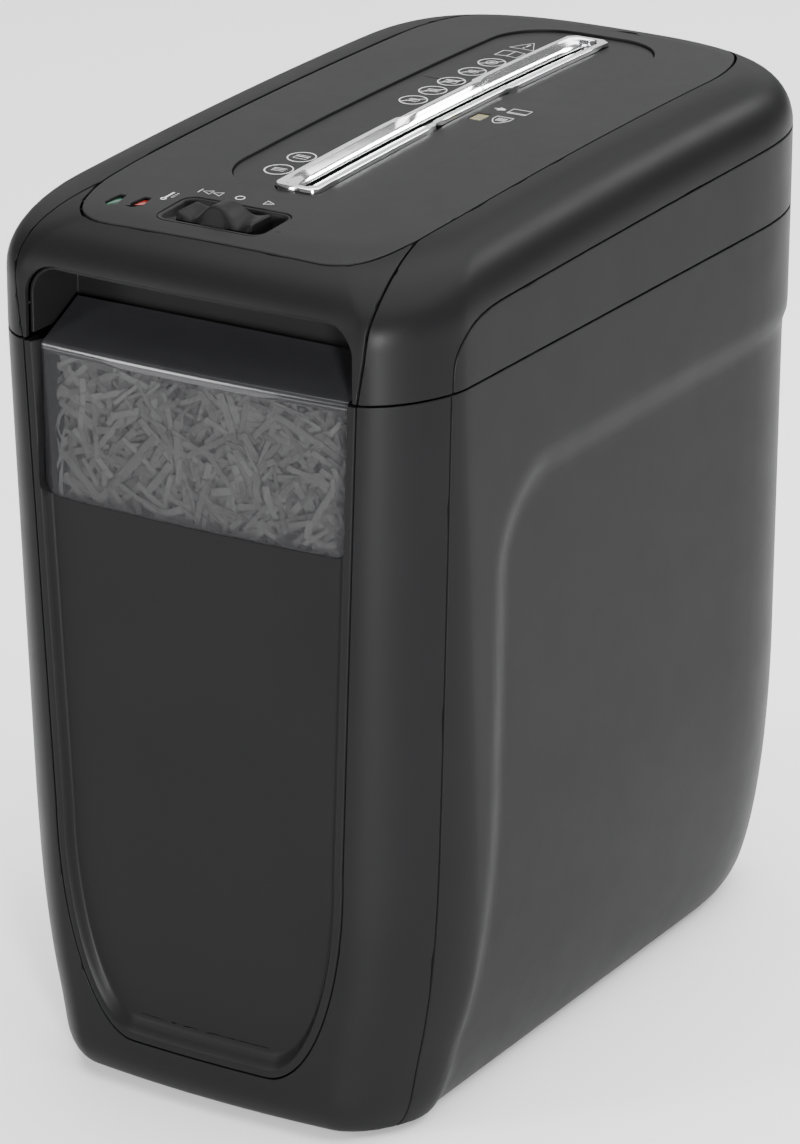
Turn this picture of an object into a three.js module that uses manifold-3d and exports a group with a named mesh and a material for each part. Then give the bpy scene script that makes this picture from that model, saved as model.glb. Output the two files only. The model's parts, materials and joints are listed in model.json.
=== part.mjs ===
// Deskside cross-cut paper shredder: a rounded cabinet with a pull-out bin and a cutting head on top.
// Millimetres, +Z up, +Y towards the back, +X to the right of someone facing the front.
import * as THREE from 'three';
import { mergeVertices } from 'three/addons/utils/BufferGeometryUtils.js';
import Module from 'manifold-3d';

const wasm = await Module();
wasm.setup();

// ---- driving dimensions ----
// Y is counted from the front face at the seam, Z from the floor.
const WIDTH = 212.8;
const DEPTH = 367;
const SEAM_Z = 329.6;
const TOP_FRONT_Z = 379.5;
const CROWN_RISE = 11;
const FOOT_HEIGHT = 1.5;
const FRONT_BULGE = 3;
const SHELL_WALL = 2.6;
const GAP = 0.3;
const EDGE_RADIUS = 26;
const EDGE_SQUARENESS = 2.2;
const FRONT_EDGE_REACH = 1.4;
const FRONT_LEAN = 0.012;
const SIDE_DRAFT = 0.003;
const SIDE_TUCK = 26;
const SIDE_TUCK_HEIGHT = 130;
const CORNER_WIDTH = 26.4;
const CORNER_DEPTH = 40;
const CORNER_DEPTH_GROWTH = 0.05;
const CORNER_SQUARENESS = 1.6;
const LOW_CORNER_HEIGHT = 90;
const LOW_CORNER_WIDENING = 20;
const TOE_HEIGHT = 40;
const TOE_CORNER_NARROWING = 12;
const TOE_DEPTH_LOSS = 35;
const SMALLEST_CORNER = 3;
const EDGE_CORNER_WIDENING = 0.5;
const EDGE_CORNER_DEEPENING = 0.6;
const BACK_ROUNDING = 91;
const BACK_SQUARENESS = 2.9;
const BOTTOM_RADIUS = 18;
const SIDE_SEAM_Y = 31.5;
const SIDE_RECESS_DEPTH = 2.4;
const SIDE_RECESS_TOP = 284;
const INLET_X = -40;
const INLET_Z = 343.6;
const FOOT_RADIUS = 9;
// bin
const MOUTH_TAPER = 8.7;
const MOUTH_ARC_WIDTH = 38;
const MOUTH_ARC_HEIGHT = 100.7;
const CHIN_HEIGHT = 24.3;
const BIN_WALL = 2;
const BIN_TOP_Z = 296;
const BIN_REAR_SPACE = 35;
const BIN_RIM = 4;
const PANEL_RECESS = 5;
const PANEL_WALL = 3;
const WINDOW_BOTTOM_Z = 262;
const WINDOW_TOP_Z = 327;
const WINDOW_SIDE_MARGIN = 6.5;
const TUB_SIDE_CLEARANCE = 2.4;
const GRIP_DEPTH = 34;
const GRIP_TOP_Z = 362;
const RAIL_HALF_SPACING = 27;
const RAIL_WIDTH = 6;
// paper entry
const SLOT_START = 85.4;
const SLOT_LENGTH = 234;
const SLOT_WIDTH = 5;
const TRIM_WIDTH = 21;
const TRIM_END = 6;
const TRIM_PROUD = 1;
const PLATE_WIDTH = 78;
const PLATE_SUNK = 1.2;
const PLATE_END = 11;
// cutting unit
const CUTTER_Z = 338;
const DISC_RADIUS = 20;
const CORE_RADIUS = 12;
const CORE_CLEARANCE = 2;
const DISC_THICKNESS = 8.4;
const DISC_SIDE_GAP = 0.4;
const DISC_LEAD = 2.6;
const SHAFT_RADIUS = 5;
const BORE_CLEARANCE = 0.3;
const BUSH_WALL = 2.4;
const END_PLATE_THICKNESS = 3;
const TIE_ROD_RADIUS = 3;
const BASE_TOP_Z = 302;
const BASE_THICKNESS = 3;
const BASE_WALL = 2;
const BASE_INSET = SHELL_WALL + 3;
const DISCHARGE_HALF_WIDTH = 34;
// gear train
const SYNC_TEETH = 17;
const DRIVE_TEETH = 27;
const PINION_TEETH = 10;
const REDUCTION_TEETH = 26;
const DRIVE_MODULE = 2;
const REDUCTION_MODULE = 1.5;
const GEAR_FACE = 6.5;
const GEAR_BACKLASH = 0.35;
const MOTOR_RADIUS = 27;
const MOTOR_SPAN = 55;
const MOTOR_LENGTH = 84;
const MOTOR_SHAFT_RADIUS = 3;
const FAN_RADIUS = 22;
// controls
const POCKET_LEFT = -34;
const POCKET_RIGHT = 18;
const POCKET_FRONT = 27;
const POCKET_BACK = 54;
const POCKET_DEPTH = 7;
const KNOB_WIDTH = 36;
const KNOB_DEPTH = 17;

// ---- values that follow from them ----
const HALF_WIDTH = WIDTH / 2;
const MOUTH_HALF_WIDTH = HALF_WIDTH - CORNER_WIDTH;
const MOUTH_ARC_TOP = CHIN_HEIGHT + MOUTH_ARC_HEIGHT;
const CROWN_Y = DEPTH * 0.8;
const BACK_START = DEPTH - BACK_ROUNDING;
const SLOT_END = SLOT_START + SLOT_LENGTH;
const BIN_BACK = DEPTH - BIN_REAR_SPACE;
const CUTTER_X = (DISC_RADIUS + CORE_RADIUS + CORE_CLEARANCE) / 2;
const CUTTING_LENGTH = SLOT_LENGTH - DISC_THICKNESS / 2;
const DISC_COUNT = Math.floor(CUTTING_LENGTH / (2 * (DISC_THICKNESS + DISC_SIDE_GAP)));
const DISC_PITCH = CUTTING_LENGTH / DISC_COUNT;
const FRONT_PLATE_Y = SLOT_START - END_PLATE_THICKNESS - 2.4;
const REAR_PLATE_Y = SLOT_END + DISC_LEAD;
const MOTOR_X = CUTTER_X + MOTOR_SPAN;
const TUB_INSET = PANEL_RECESS + PANEL_WALL + GAP;
const WINDOW_HALF_WIDTH = MOUTH_HALF_WIDTH - WINDOW_SIDE_MARGIN;
const FAR = 600;

// The top's height over a point, and how far a rounded edge has come in at a height.
const topHeight = (y) => TOP_FRONT_Z + CROWN_RISE * (1 - ((y - CROWN_Y) / CROWN_Y) ** 2);
const roundOff = (z, height) => 1 - Math.sqrt(1 - (Math.max(0, height - z) / height) ** 2);
// Half width, front, back and the front corners' start and depth at a height.
const halfWidthAt = (z) =>
  HALF_WIDTH - SIDE_DRAFT * (SEAM_Z - z) - SIDE_TUCK * roundOff(z, SIDE_TUCK_HEIGHT);
const frontAt = (z) => FRONT_LEAN * (SEAM_Z - z) + BOTTOM_RADIUS * roundOff(z, BOTTOM_RADIUS);
const backAt = (z) => DEPTH - FRONT_LEAN * (SEAM_Z - z) - BOTTOM_RADIUS * roundOff(z, BOTTOM_RADIUS);
const cornerStartAt = (z) =>
  MOUTH_HALF_WIDTH - (MOUTH_TAPER * (SEAM_Z - z)) / (SEAM_Z - MOUTH_ARC_TOP)
    - LOW_CORNER_WIDENING * roundOff(z, LOW_CORNER_HEIGHT)
    + TOE_CORNER_NARROWING * roundOff(z, TOE_HEIGHT);
const cornerDepthAt = (z) =>
  CORNER_DEPTH + CORNER_DEPTH_GROWTH * (SEAM_Z - z) - TOE_DEPTH_LOSS * roundOff(z, TOE_HEIGHT);

// ---- solids ----
const plastic = (color, roughness = 0.5) =>
  new THREE.MeshStandardMaterial({ color, roughness, metalness: 0 });
const metal = (color, roughness = 0.35) =>
  new THREE.MeshStandardMaterial({ color, roughness, metalness: 1 });
const material = {
  shell: () => plastic(0x1d1d1f, 0.55),
  panel: () => plastic(0x2a2a2c, 0.62),
  window: () => plastic(0x4a4a4c, 0.15),
  chrome: () => metal(0xdedede, 0.15),
  steel: () => metal(0x8d9094, 0.4),
  bronze: () => metal(0xa9793a, 0.4),
  nylon: () => plastic(0xd9d6cc, 0.5),
  rubber: () => plastic(0x161616, 0.9),
  board: () => plastic(0x1f5b38, 0.5),
  inner: () => plastic(0x303236, 0.6),
  green: () => plastic(0x1d8f4a, 0.3),
  red: () => plastic(0xb03024, 0.3),
  yellow: () => plastic(0xb8a02c, 0.3),
};

// Makes a closed mesh a solid: shared points are merged, pole slivers dropped, faces turned outward.
function toSolid(geometry) {
  const bare = geometry.clone();
  bare.deleteAttribute('normal');
  bare.deleteAttribute('uv');
  const merged = mergeVertices(bare, 1e-4);
  const place = merged.attributes.position;
  const corner = (index) => new THREE.Vector3().fromBufferAttribute(place, index);
  const triangles = [];
  let volume = 0;
  for (let i = 0; i < merged.index.count; i += 3) {
    const [a, b, c] = [0, 1, 2].map((k) => merged.index.getX(i + k));
    if (a === b || b === c || c === a) continue;
    triangles.push([a, b, c]);
    volume += corner(a).dot(corner(b).cross(corner(c)));
  }
  const turned = volume < 0 ? triangles.map(([a, b, c]) => [a, c, b]) : triangles;
  return new wasm.Manifold(new wasm.Mesh({
    numProp: 3,
    vertProperties: new Float32Array(place.array),
    triVerts: new Uint32Array(turned.flat()),
  }));
}

function toGeometry(solid) {
  const mesh = solid.getMesh();
  const geometry = new THREE.BufferGeometry();
  geometry.setAttribute('position', new THREE.BufferAttribute(mesh.vertProperties, 3));
  geometry.setIndex(new THREE.BufferAttribute(mesh.triVerts, 1));
  geometry.computeVertexNormals();
  return geometry;
}

function extrude(shape, from, to, curveSegments) {
  const settings = { depth: to - from, bevelEnabled: false, curveSegments };
  return new THREE.ExtrudeGeometry(shape, settings).translate(0, 0, from);
}

const alongZ = (shape, from, to, curveSegments = 4) =>
  toSolid(extrude(shape, from, to, curveSegments));

const turnToY = new THREE.Matrix4().makeBasis(
  new THREE.Vector3(1, 0, 0), new THREE.Vector3(0, 0, 1), new THREE.Vector3(0, -1, 0));
const turnToX = new THREE.Matrix4().makeBasis(
  new THREE.Vector3(0, 1, 0), new THREE.Vector3(0, 0, 1), new THREE.Vector3(1, 0, 0));

// A shape drawn in X and Z, swept along Y.
const alongY = (shape, from, to, curveSegments = 4) =>
  toSolid(extrude(shape, -to, -from, curveSegments).applyMatrix4(turnToY));

// A shape drawn in Y and Z, swept along X.
const alongX = (shape, from, to, curveSegments = 4) =>
  toSolid(extrude(shape, from, to, curveSegments).applyMatrix4(turnToX));

function block(x0, x1, y0, y1, z0, z1) {
  const box = new THREE.BoxGeometry(x1 - x0, y1 - y0, z1 - z0);
  return toSolid(box.translate((x0 + x1) / 2, (y0 + y1) / 2, (z0 + z1) / 2));
}

// A turned piece on an axis parallel to Y: its profile is a closed loop of [radius, y].
function turned(profile, x, z, segments = 16) {
  const points = [...profile, profile[0]].map(([radius, y]) => new THREE.Vector2(radius, y));
  return toSolid(new THREE.LatheGeometry(points, segments).translate(x, 0, z));
}

function rod(radius, x, z, from, to, segments = 16) {
  const cylinder = new THREE.CylinderGeometry(radius, radius, to - from, segments);
  return toSolid(cylinder.translate(x, (from + to) / 2, z));
}

function post(radius, x, y, from, to, segments = 16) {
  const cylinder = new THREE.CylinderGeometry(radius, radius, to - from, segments);
  return toSolid(cylinder.rotateX(Math.PI / 2).translate(x, y, (from + to) / 2));
}

const polygon = (points) => new THREE.Shape(points.map(([a, b]) => new THREE.Vector2(a, b)));

function roundedRectangle(x0, x1, y0, y1, radius) {
  const shape = new THREE.Shape();
  shape.moveTo(x0 + radius, y0);
  shape.lineTo(x1 - radius, y0);
  shape.absarc(x1 - radius, y0 + radius, radius, -Math.PI / 2, 0);
  shape.lineTo(x1, y1 - radius);
  shape.absarc(x1 - radius, y1 - radius, radius, 0, Math.PI / 2);
  shape.lineTo(x0 + radius, y1);
  shape.absarc(x0 + radius, y1 - radius, radius, Math.PI / 2, Math.PI);
  shape.lineTo(x0, y0 + radius);
  shape.absarc(x0 + radius, y0 + radius, radius, Math.PI, Math.PI * 1.5);
  return shape;
}

// ---- outer form of the whole machine ----
// Plan outline at height z, inset by a wall: convex front, softly rounded front corners,
// straight sides and a superelliptical back. Where the top edge rounds over, the outline is
// also pulled in, further at the front than at the sides, and its front corners widen.
function planOutline(z, inset, pulled = 0) {
  const half = halfWidthAt(z) - inset - pulled;
  const front = frontAt(z) + inset + FRONT_EDGE_REACH * pulled;
  const width = halfWidthAt(z) - cornerStartAt(z) - inset + EDGE_CORNER_WIDENING * pulled;
  const depth = cornerDepthAt(z) - inset + EDGE_CORNER_DEEPENING * pulled;
  const cornerWidth = Math.max(width, SMALLEST_CORNER);
  const cornerDepth = Math.max(depth, SMALLEST_CORNER);
  const cornerPower = 2 / CORNER_SQUARENESS;
  const back = backAt(z) - inset - pulled;
  const right = [];
  const flat = half - cornerWidth;
  for (let i = 0; i < 2; i++) {
    const x = (flat * i) / 2;
    right.push([x, front - FRONT_BULGE * (1 - (x / flat) ** 2)]);
  }
  for (let i = 0; i < 5; i++) {
    const turn = (Math.PI / 2) * (i / 5);
    right.push([
      flat + cornerWidth * Math.sin(turn) ** cornerPower,
      front + cornerDepth * (1 - Math.cos(turn) ** cornerPower),
    ]);
  }
  for (let i = 0; i < 4; i++) {
    const y = THREE.MathUtils.lerp(front + cornerDepth, BACK_START, i / 4);
    right.push([half, y]);
  }
  for (let i = 0; i <= 7; i++) {
    const turn = (Math.PI / 2) * (i / 7);
    const power = 2 / BACK_SQUARENESS;
    const x = half * Math.max(Math.cos(turn), 0) ** power;
    right.push([i === 7 ? 0 : x, BACK_START + (back - BACK_START) * Math.sin(turn) ** power]);
  }
  const left = right.slice(1, -1).reverse().map(([x, y]) => [-x, y]);
  return [...right, ...left];
}

// A solid skinned over rings of points from the lowest up, closed by a fan at each end.
function loft(rings) {
  const count = rings[0].length;
  const points = rings.flat();
  const middle = (ring) => ring.reduce((sum, p) => sum.add(p), new THREE.Vector3()).divideScalar(count);
  const bottom = points.push(middle(rings[0])) - 1;
  const top = points.push(middle(rings[rings.length - 1])) - 1;
  const faces = [];
  for (let i = 0; i < count; i++) {
    const next = (i + 1) % count;
    for (let k = 0; k < rings.length - 1; k++) {
      const low = k * count;
      const high = low + count;
      faces.push(low + i, low + next, high + next, low + i, high + next, high + i);
    }
    const last = (rings.length - 1) * count;
    faces.push(bottom, next, i, top, last + i, last + next);
  }
  const geometry = new THREE.BufferGeometry().setFromPoints(points);
  geometry.setIndex(faces);
  return toSolid(geometry);
}

// The cabinet's form up to the seam, pulled in by inset.
function cabinetForm(inset, top = SEAM_Z - GAP / 2) {
  const low = FOOT_HEIGHT + inset;
  const heights = [0, 5, 15, 40, 80, SIDE_TUCK_HEIGHT - low].map((rise) => low + rise);
  return loft([...heights, top].map((z) =>
    planOutline(z, inset).map(([x, y]) => new THREE.Vector3(x, y, z))));
}

// The head's form from the seam to the crowned top, pulled in by inset (pushed out if negative).
function headForm(inset, bottom = SEAM_Z + GAP / 2) {
  const radius = EDGE_RADIUS - inset;
  const power = 2 / EDGE_SQUARENESS;
  const rings = [planOutline(SEAM_Z, inset).map(([x, y]) => new THREE.Vector3(x, y, bottom))];
  for (let step = 0; step <= 4; step++) {
    const turn = (Math.PI / 2) * (step / 4);
    const pulled = radius * (1 - Math.max(Math.cos(turn), 0) ** power);
    const drop = inset + radius * (1 - Math.sin(turn) ** power);
    rings.push(planOutline(SEAM_Z, inset, pulled).map(([x, y]) =>
      new THREE.Vector3(x, y, topHeight(y) - drop)));
  }
  const middleY = DEPTH / 2;
  for (const share of [0.5, 0.05]) {
    rings.push(planOutline(SEAM_Z, inset, radius).map(([x, y]) => {
      const along = middleY + (y - middleY) * (0.9 + 0.1 * share);
      return new THREE.Vector3(x * share, along, topHeight(along) - inset);
    }));
  }
  return loft(rings);
}

const headLayer = (outer, inner) => headForm(outer).subtract(headForm(inner, SEAM_Z - 20));

// ---- outlines shared by neighbours ----
// The bin's opening in the front: straight tapering sides and elliptical lower corners.
function mouthShape(inset, top) {
  const arcTop = MOUTH_ARC_TOP;
  const low = CHIN_HEIGHT + inset;
  const narrow = MOUTH_HALF_WIDTH - MOUTH_TAPER - inset;
  const flat = MOUTH_HALF_WIDTH - MOUTH_TAPER - MOUTH_ARC_WIDTH;
  const wide = narrow + (MOUTH_TAPER * (top - arcTop)) / (SEAM_Z - arcTop);
  const shape = new THREE.Shape();
  shape.moveTo(-wide, top);
  shape.lineTo(-narrow, arcTop);
  shape.absellipse(-flat, arcTop, narrow - flat, arcTop - low, Math.PI, Math.PI * 1.5);
  shape.lineTo(flat, low);
  shape.absellipse(flat, arcTop, narrow - flat, arcTop - low, Math.PI * 1.5, Math.PI * 2);
  shape.lineTo(wide, top);
  return shape;
}

// Plan of the large upper panel.
function topPanelShape(grow) {
  const half = MOUTH_HALF_WIDTH - 3 + grow;
  const front = 18 - grow;
  const back = DEPTH - 13 + grow;
  const shape = new THREE.Shape();
  shape.moveTo(0, front);
  shape.lineTo(half - 27, front);
  shape.bezierCurveTo(half - 8, front, half - 4, front + 14, half - 1, front + 36);
  shape.lineTo(half, front + 62);
  shape.lineTo(half, back - 62);
  shape.bezierCurveTo(half - 1, back - 28, half - 15, back, half - 47, back);
  shape.lineTo(47 - half, back);
  shape.bezierCurveTo(15 - half, back, 1 - half, back - 28, -half, back - 62);
  shape.lineTo(-half, front + 62);
  shape.lineTo(1 - half, front + 36);
  shape.bezierCurveTo(4 - half, front + 14, 8 - half, front, 27 - half, front);
  return shape;
}

// The front fascia's zone: an upright outline met by a plan outline.
function fasciaZone(grow) {
  const half = MOUTH_HALF_WIDTH + grow;
  const upright = polygon([
    [-half, 300], [half, 300], [half, SEAM_Z], [half + 2.5, SEAM_Z + 15], [half + 4, SEAM_Z + 36],
    [half + 4, 450], [-half - 4, 450], [-half - 4, SEAM_Z + 36], [-half - 2.5, SEAM_Z + 15],
    [-half, SEAM_Z],
  ]);
  const plan = polygon([
    [-half - 5, -20], [half + 5, -20], [half + 4, 3], [half + 3.5, 12], [half, 32],
    [half - 4, 54 + grow], [4 - half, 54 + grow], [-half, 32], [-half - 3.5, 12], [-half - 4, 3],
  ]);
  return alongY(upright, -20, 60).intersect(alongZ(plan, 300, 450));
}

// The head's side and back band, below the groove that runs round it.
function sideBandZone(grow) {
  const front = SIDE_SEAM_Y + 0.5 - grow;
  const line = SEAM_Z + 29.5 + grow;
  const shape = new THREE.Shape();
  shape.moveTo(front, SEAM_Z - 20);
  shape.lineTo(DEPTH + 40, SEAM_Z - 20);
  shape.lineTo(DEPTH + 40, line + 7);
  shape.lineTo(front + 80, line + 2);
  shape.lineTo(front + 33, line);
  shape.bezierCurveTo(front + 12, line - 1, front, line - 8, front, line - 23);
  return alongX(shape, -FAR / 2, FAR / 2);
}

const pocketShape = (grow) => roundedRectangle(
  POCKET_LEFT - grow, POCKET_RIGHT + grow, POCKET_FRONT - grow, POCKET_BACK + grow, 6 + grow);
const plateShape = (grow) => roundedRectangle(
  -PLATE_WIDTH / 2 - grow, PLATE_WIDTH / 2 + grow,
  SLOT_START - PLATE_END - grow, SLOT_END + PLATE_END + grow, 28 + grow);
const trimShape = (grow) => polygon([
  [3 - TRIM_WIDTH / 2 - grow, SLOT_START - TRIM_END - grow],
  [TRIM_WIDTH / 2 - 3 + grow, SLOT_START - TRIM_END - grow],
  [TRIM_WIDTH / 2 + grow, SLOT_START - TRIM_END + 5],
  [TRIM_WIDTH / 2 + grow, SLOT_END + TRIM_END - 7],
  [TRIM_WIDTH / 2 - 3 + grow, SLOT_END + TRIM_END - 3 + grow],
  [3 - TRIM_WIDTH / 2 - grow, SLOT_END + TRIM_END - 3 + grow],
  [-TRIM_WIDTH / 2 - grow, SLOT_END + TRIM_END - 7],
  [-TRIM_WIDTH / 2 - grow, SLOT_START - TRIM_END + 5],
]);
const slotBlock = (z0, z1) => block(-SLOT_WIDTH / 2, SLOT_WIDTH / 2, SLOT_START, SLOT_END, z0, z1);
const lampShape = (x, y, width, length) => polygon([
  [x - width / 2, y + length * 0.25], [x, y], [x + width / 2, y + length * 0.25],
  [x + width * 0.25, y + length], [x - width * 0.25, y + length],
]);
const LAMPS = {
  power_light: { x: -58.5, y: 31, width: 6, length: 12, finish: material.green },
  overheat_light: { x: -47.5, y: 33, width: 6, length: 12, finish: material.red },
};
const SENSOR_LIGHT = { x: 16.5, y: (SLOT_START + SLOT_END) / 2 - 8, width: 6, length: 9 };

// ---- casings ----
const mainForm = cabinetForm(0);
const wallForm = cabinetForm(SHELL_WALL, SEAM_Z + 20);
const headShell = headLayer(0, SHELL_WALL);
const topPanelZone = (grow) => alongZ(topPanelShape(grow), 350, 450);

// Outline in Y and Z of the shallow recess pressed into each side.
function sideRecessShape(grow) {
  const shape = new THREE.Shape();
  const rear = DEPTH + 40;
  shape.moveTo(47 - grow, -20);
  shape.lineTo(47 - grow, 34);
  shape.bezierCurveTo(58 - grow, 62, 60 - grow, 110, 63 - grow, 160);
  shape.lineTo(66 - grow, 232);
  shape.bezierCurveTo(68 - grow, 262, 84 - grow, SIDE_RECESS_TOP + grow, 114, SIDE_RECESS_TOP + grow);
  shape.lineTo(rear, SIDE_RECESS_TOP + grow);
  shape.lineTo(rear, -20);
  return shape;
}

// Everything of the cabinet behind the front corner seam, with the recess pressed into its wall.
function cabinetShell() {
  const inward = HALF_WIDTH - 30;
  const middle = block(-inward, inward, -FAR, FAR, -FAR, FAR);
  const recess = (grow, depth) => alongX(sideRecessShape(grow), -FAR / 2, FAR / 2)
    .subtract(cabinetForm(depth, SEAM_Z + 30)).subtract(middle);
  const hollow = wallForm.subtract(recess(SHELL_WALL, SHELL_WALL + SIDE_RECESS_DEPTH));
  const rear = block(-FAR, FAR, SIDE_SEAM_Y, FAR, -10, SEAM_Z + 10);
  return mainForm.subtract(recess(0, SIDE_RECESS_DEPTH)).subtract(hollow).intersect(rear);
}

// The two front columns and the chin that joins them under the bin.
function frontBezel() {
  const front = block(-FAR, FAR, -20, SIDE_SEAM_Y - GAP, -10, SEAM_Z + 10);
  const mouth = alongY(mouthShape(0, SEAM_Z + 30), -30, 60);
  return mainForm.subtract(wallForm).intersect(front).subtract(mouth);
}

// The finger opening, seen from the front.
function gripShape(halfWidth, top) {
  return roundedRectangle(-halfWidth, halfWidth, 200, top, 14);
}

// The head's front, with an opening for fingers below the top.
function frontFascia() {
  return headShell.intersect(fasciaZone(-GAP / 2))
    .subtract(topPanelZone(GAP / 2))
    .subtract(alongY(gripShape(MOUTH_HALF_WIDTH - 2, GRIP_TOP_Z), -30, GRIP_DEPTH + 4));
}

// The rounded shoulder round the top panel.
function topCover() {
  return headShell.subtract(fasciaZone(GAP / 2))
    .subtract(topPanelZone(GAP / 2)).subtract(sideBandZone(GAP / 2));
}

// The band round the head's sides and back.
function headHousing() {
  const inlet = rod(5.5, INLET_X, INLET_Z, BACK_START, DEPTH + 10);
  return headShell.intersect(sideBandZone(-GAP / 2)).subtract(inlet);
}

// The upper panel with openings for the plate, the knob's pocket and the lamps.
function topPanel() {
  let panel = headShell.intersect(topPanelZone(-GAP / 2));
  panel = panel.subtract(alongZ(plateShape(GAP), 350, 450)).subtract(alongZ(pocketShape(GAP), 350, 450));
  for (const lamp of Object.values(LAMPS)) {
    panel = panel.subtract(alongZ(lampShape(lamp.x, lamp.y, lamp.width, lamp.length), 350, 450));
  }
  return panel;
}

// Closes the finger opening at its top, sides and back.
function gripRecess() {
  const half = MOUTH_HALF_WIDTH - 2;
  const outer = gripShape(half - GAP, GRIP_TOP_Z - GAP);
  const inner = gripShape(half - 2, GRIP_TOP_Z - 2);
  const keep = block(-FAR, FAR, -30, FAR, SEAM_Z + 2, FAR);
  const behindFascia = headForm(SHELL_WALL + GAP, SEAM_Z - 20);
  return alongY(outer, 0, GRIP_DEPTH + 2).subtract(alongY(inner, -30, GRIP_DEPTH))
    .intersect(keep).intersect(behindFascia);
}

// The sunk plate round the paper slot.
function sensorPlate() {
  const { x, y, width, length } = SENSOR_LIGHT;
  return headLayer(PLATE_SUNK, PLATE_SUNK + SHELL_WALL).intersect(alongZ(plateShape(0), 350, 450))
    .subtract(alongZ(trimShape(GAP), 350, 450))
    .subtract(block(x - width / 2, x + width / 2, y, y + length, 350, 450));
}

// The bright frame that stands a little proud of the plate.
function entryTrim() {
  return headLayer(-TRIM_PROUD, PLATE_SUNK + SHELL_WALL)
    .intersect(alongZ(trimShape(0), 350, 450)).subtract(slotBlock(350, 450));
}

// A narrowing throat that leads paper from the slot to where the discs meet.
function paperGuide() {
  const bottom = CUTTER_Z + DISC_RADIUS - 1.5;
  const profile = polygon([[-5.5, bottom], [5.5, bottom], [8.5, 400], [-8.5, 400]]);
  const under = headForm(PLATE_SUNK + SHELL_WALL + GAP, SEAM_Z - 20);
  return alongY(profile, SLOT_START - 2, SLOT_END + 2).intersect(under).subtract(slotBlock(300, 450));
}

// A kite-shaped light pipe.
function lamp(name) {
  const { x, y, width, length } = LAMPS[name];
  return headLayer(0.8, SHELL_WALL).intersect(
    alongZ(lampShape(x, y + GAP, width - 2 * GAP, length - 2 * GAP), 350, 450));
}

// The small window of the paper sensor, beside the slot.
function sensorLight() {
  const { x, y, width, length } = SENSOR_LIGHT;
  const half = width / 2 - GAP;
  return headLayer(PLATE_SUNK + 0.3, PLATE_SUNK + SHELL_WALL)
    .intersect(block(x - half, x + half, y + GAP, y + length - GAP, 350, 450));
}

const SCREWS = [-1, 1].flatMap((side) => [
  [side * (HALF_WIDTH - 18), 70], [side * (HALF_WIDTH - 18), BACK_START - 15],
]);

// The tray that carries the cutting unit, open in the middle for the shreds to fall.
function headBase() {
  const low = BASE_TOP_Z - BASE_THICKNESS;
  const front = GRIP_DEPTH + 4;
  const outer = cabinetForm(BASE_INSET, SEAM_Z + 20)
    .intersect(block(-FAR, FAR, front, FAR, low, SEAM_Z - 6));
  const inner = cabinetForm(BASE_INSET + BASE_WALL, SEAM_Z + 20)
    .intersect(block(-FAR, FAR, front + 2, FAR, BASE_TOP_Z, FAR));
  const discharge = block(-DISCHARGE_HALF_WIDTH, DISCHARGE_HALF_WIDTH, SLOT_START, SLOT_END,
    low - 10, BASE_TOP_Z + 10);
  let base = outer.subtract(inner).subtract(discharge);
  for (const [x, y] of SCREWS) {
    base = base.subtract(post(2.2, x, y, low - 5, BASE_TOP_Z + 5, 10));
  }
  return base;
}

// A screw driven up through the base.
function headScrew([x, y]) {
  const low = BASE_TOP_Z - BASE_THICKNESS - GAP;
  return post(4, x, y, low - 2.4, low, 12).add(post(1.8, x, y, low - 1, BASE_TOP_Z + 10, 10));
}

// ---- bin ----
// The bin's body, open at the top and behind the window.
function binTub() {
  const outer = cabinetForm(TUB_INSET)
    .intersect(alongY(mouthShape(TUB_SIDE_CLEARANCE, SEAM_Z + 5), -30, BIN_BACK));
  const innerShape = mouthShape(TUB_SIDE_CLEARANCE + BIN_WALL, SEAM_Z + 60);
  const inner = cabinetForm(TUB_INSET + BIN_WALL, SEAM_Z + 40)
    .intersect(alongY(innerShape, -30, BIN_BACK - BIN_WALL));
  const frontCheek = GRIP_DEPTH - 2;
  const half = MOUTH_HALF_WIDTH - MOUTH_TAPER - 5;
  return outer.subtract(inner)
    .subtract(block(-FAR, FAR, frontCheek, FAR, BIN_TOP_Z, FAR))
    .subtract(block(-FAR, FAR, -20, FAR, WINDOW_TOP_Z - 8, FAR))
    .subtract(block(-half, half, -20, TUB_INSET + 10, WINDOW_BOTTOM_Z - 3, FAR));
}

function windowShape(grow) {
  const half = WINDOW_HALF_WIDTH + grow;
  return roundedRectangle(-half, half, WINDOW_BOTTOM_Z - grow, WINDOW_TOP_Z + grow, 7);
}

// The bin's front: a raised rim round a sunk panel, open above for the window.
function binFront() {
  const clear = 0.6;
  const top = SEAM_Z - 0.8;
  const frontLayer = (outer, inner) => cabinetForm(outer).subtract(cabinetForm(inner, SEAM_Z + 30));
  const inFront = block(-FAR, FAR, -20, GRIP_DEPTH, 0, top);
  const panel = frontLayer(PANEL_RECESS, PANEL_RECESS + PANEL_WALL)
    .intersect(alongY(mouthShape(clear, top), -30, GRIP_DEPTH));
  const rim = frontLayer(0, PANEL_RECESS + PANEL_WALL).intersect(
    alongY(mouthShape(clear, top), -30, GRIP_DEPTH)
      .subtract(alongY(mouthShape(clear + BIN_RIM, top + 20), -40, GRIP_DEPTH + 5)));
  const half = WINDOW_HALF_WIDTH + GAP;
  return panel.add(rim).intersect(inFront)
    .subtract(alongY(windowShape(GAP), -30, 60))
    .subtract(block(-half, half, -30, 60, WINDOW_TOP_Z - 20, FAR));
}

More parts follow.
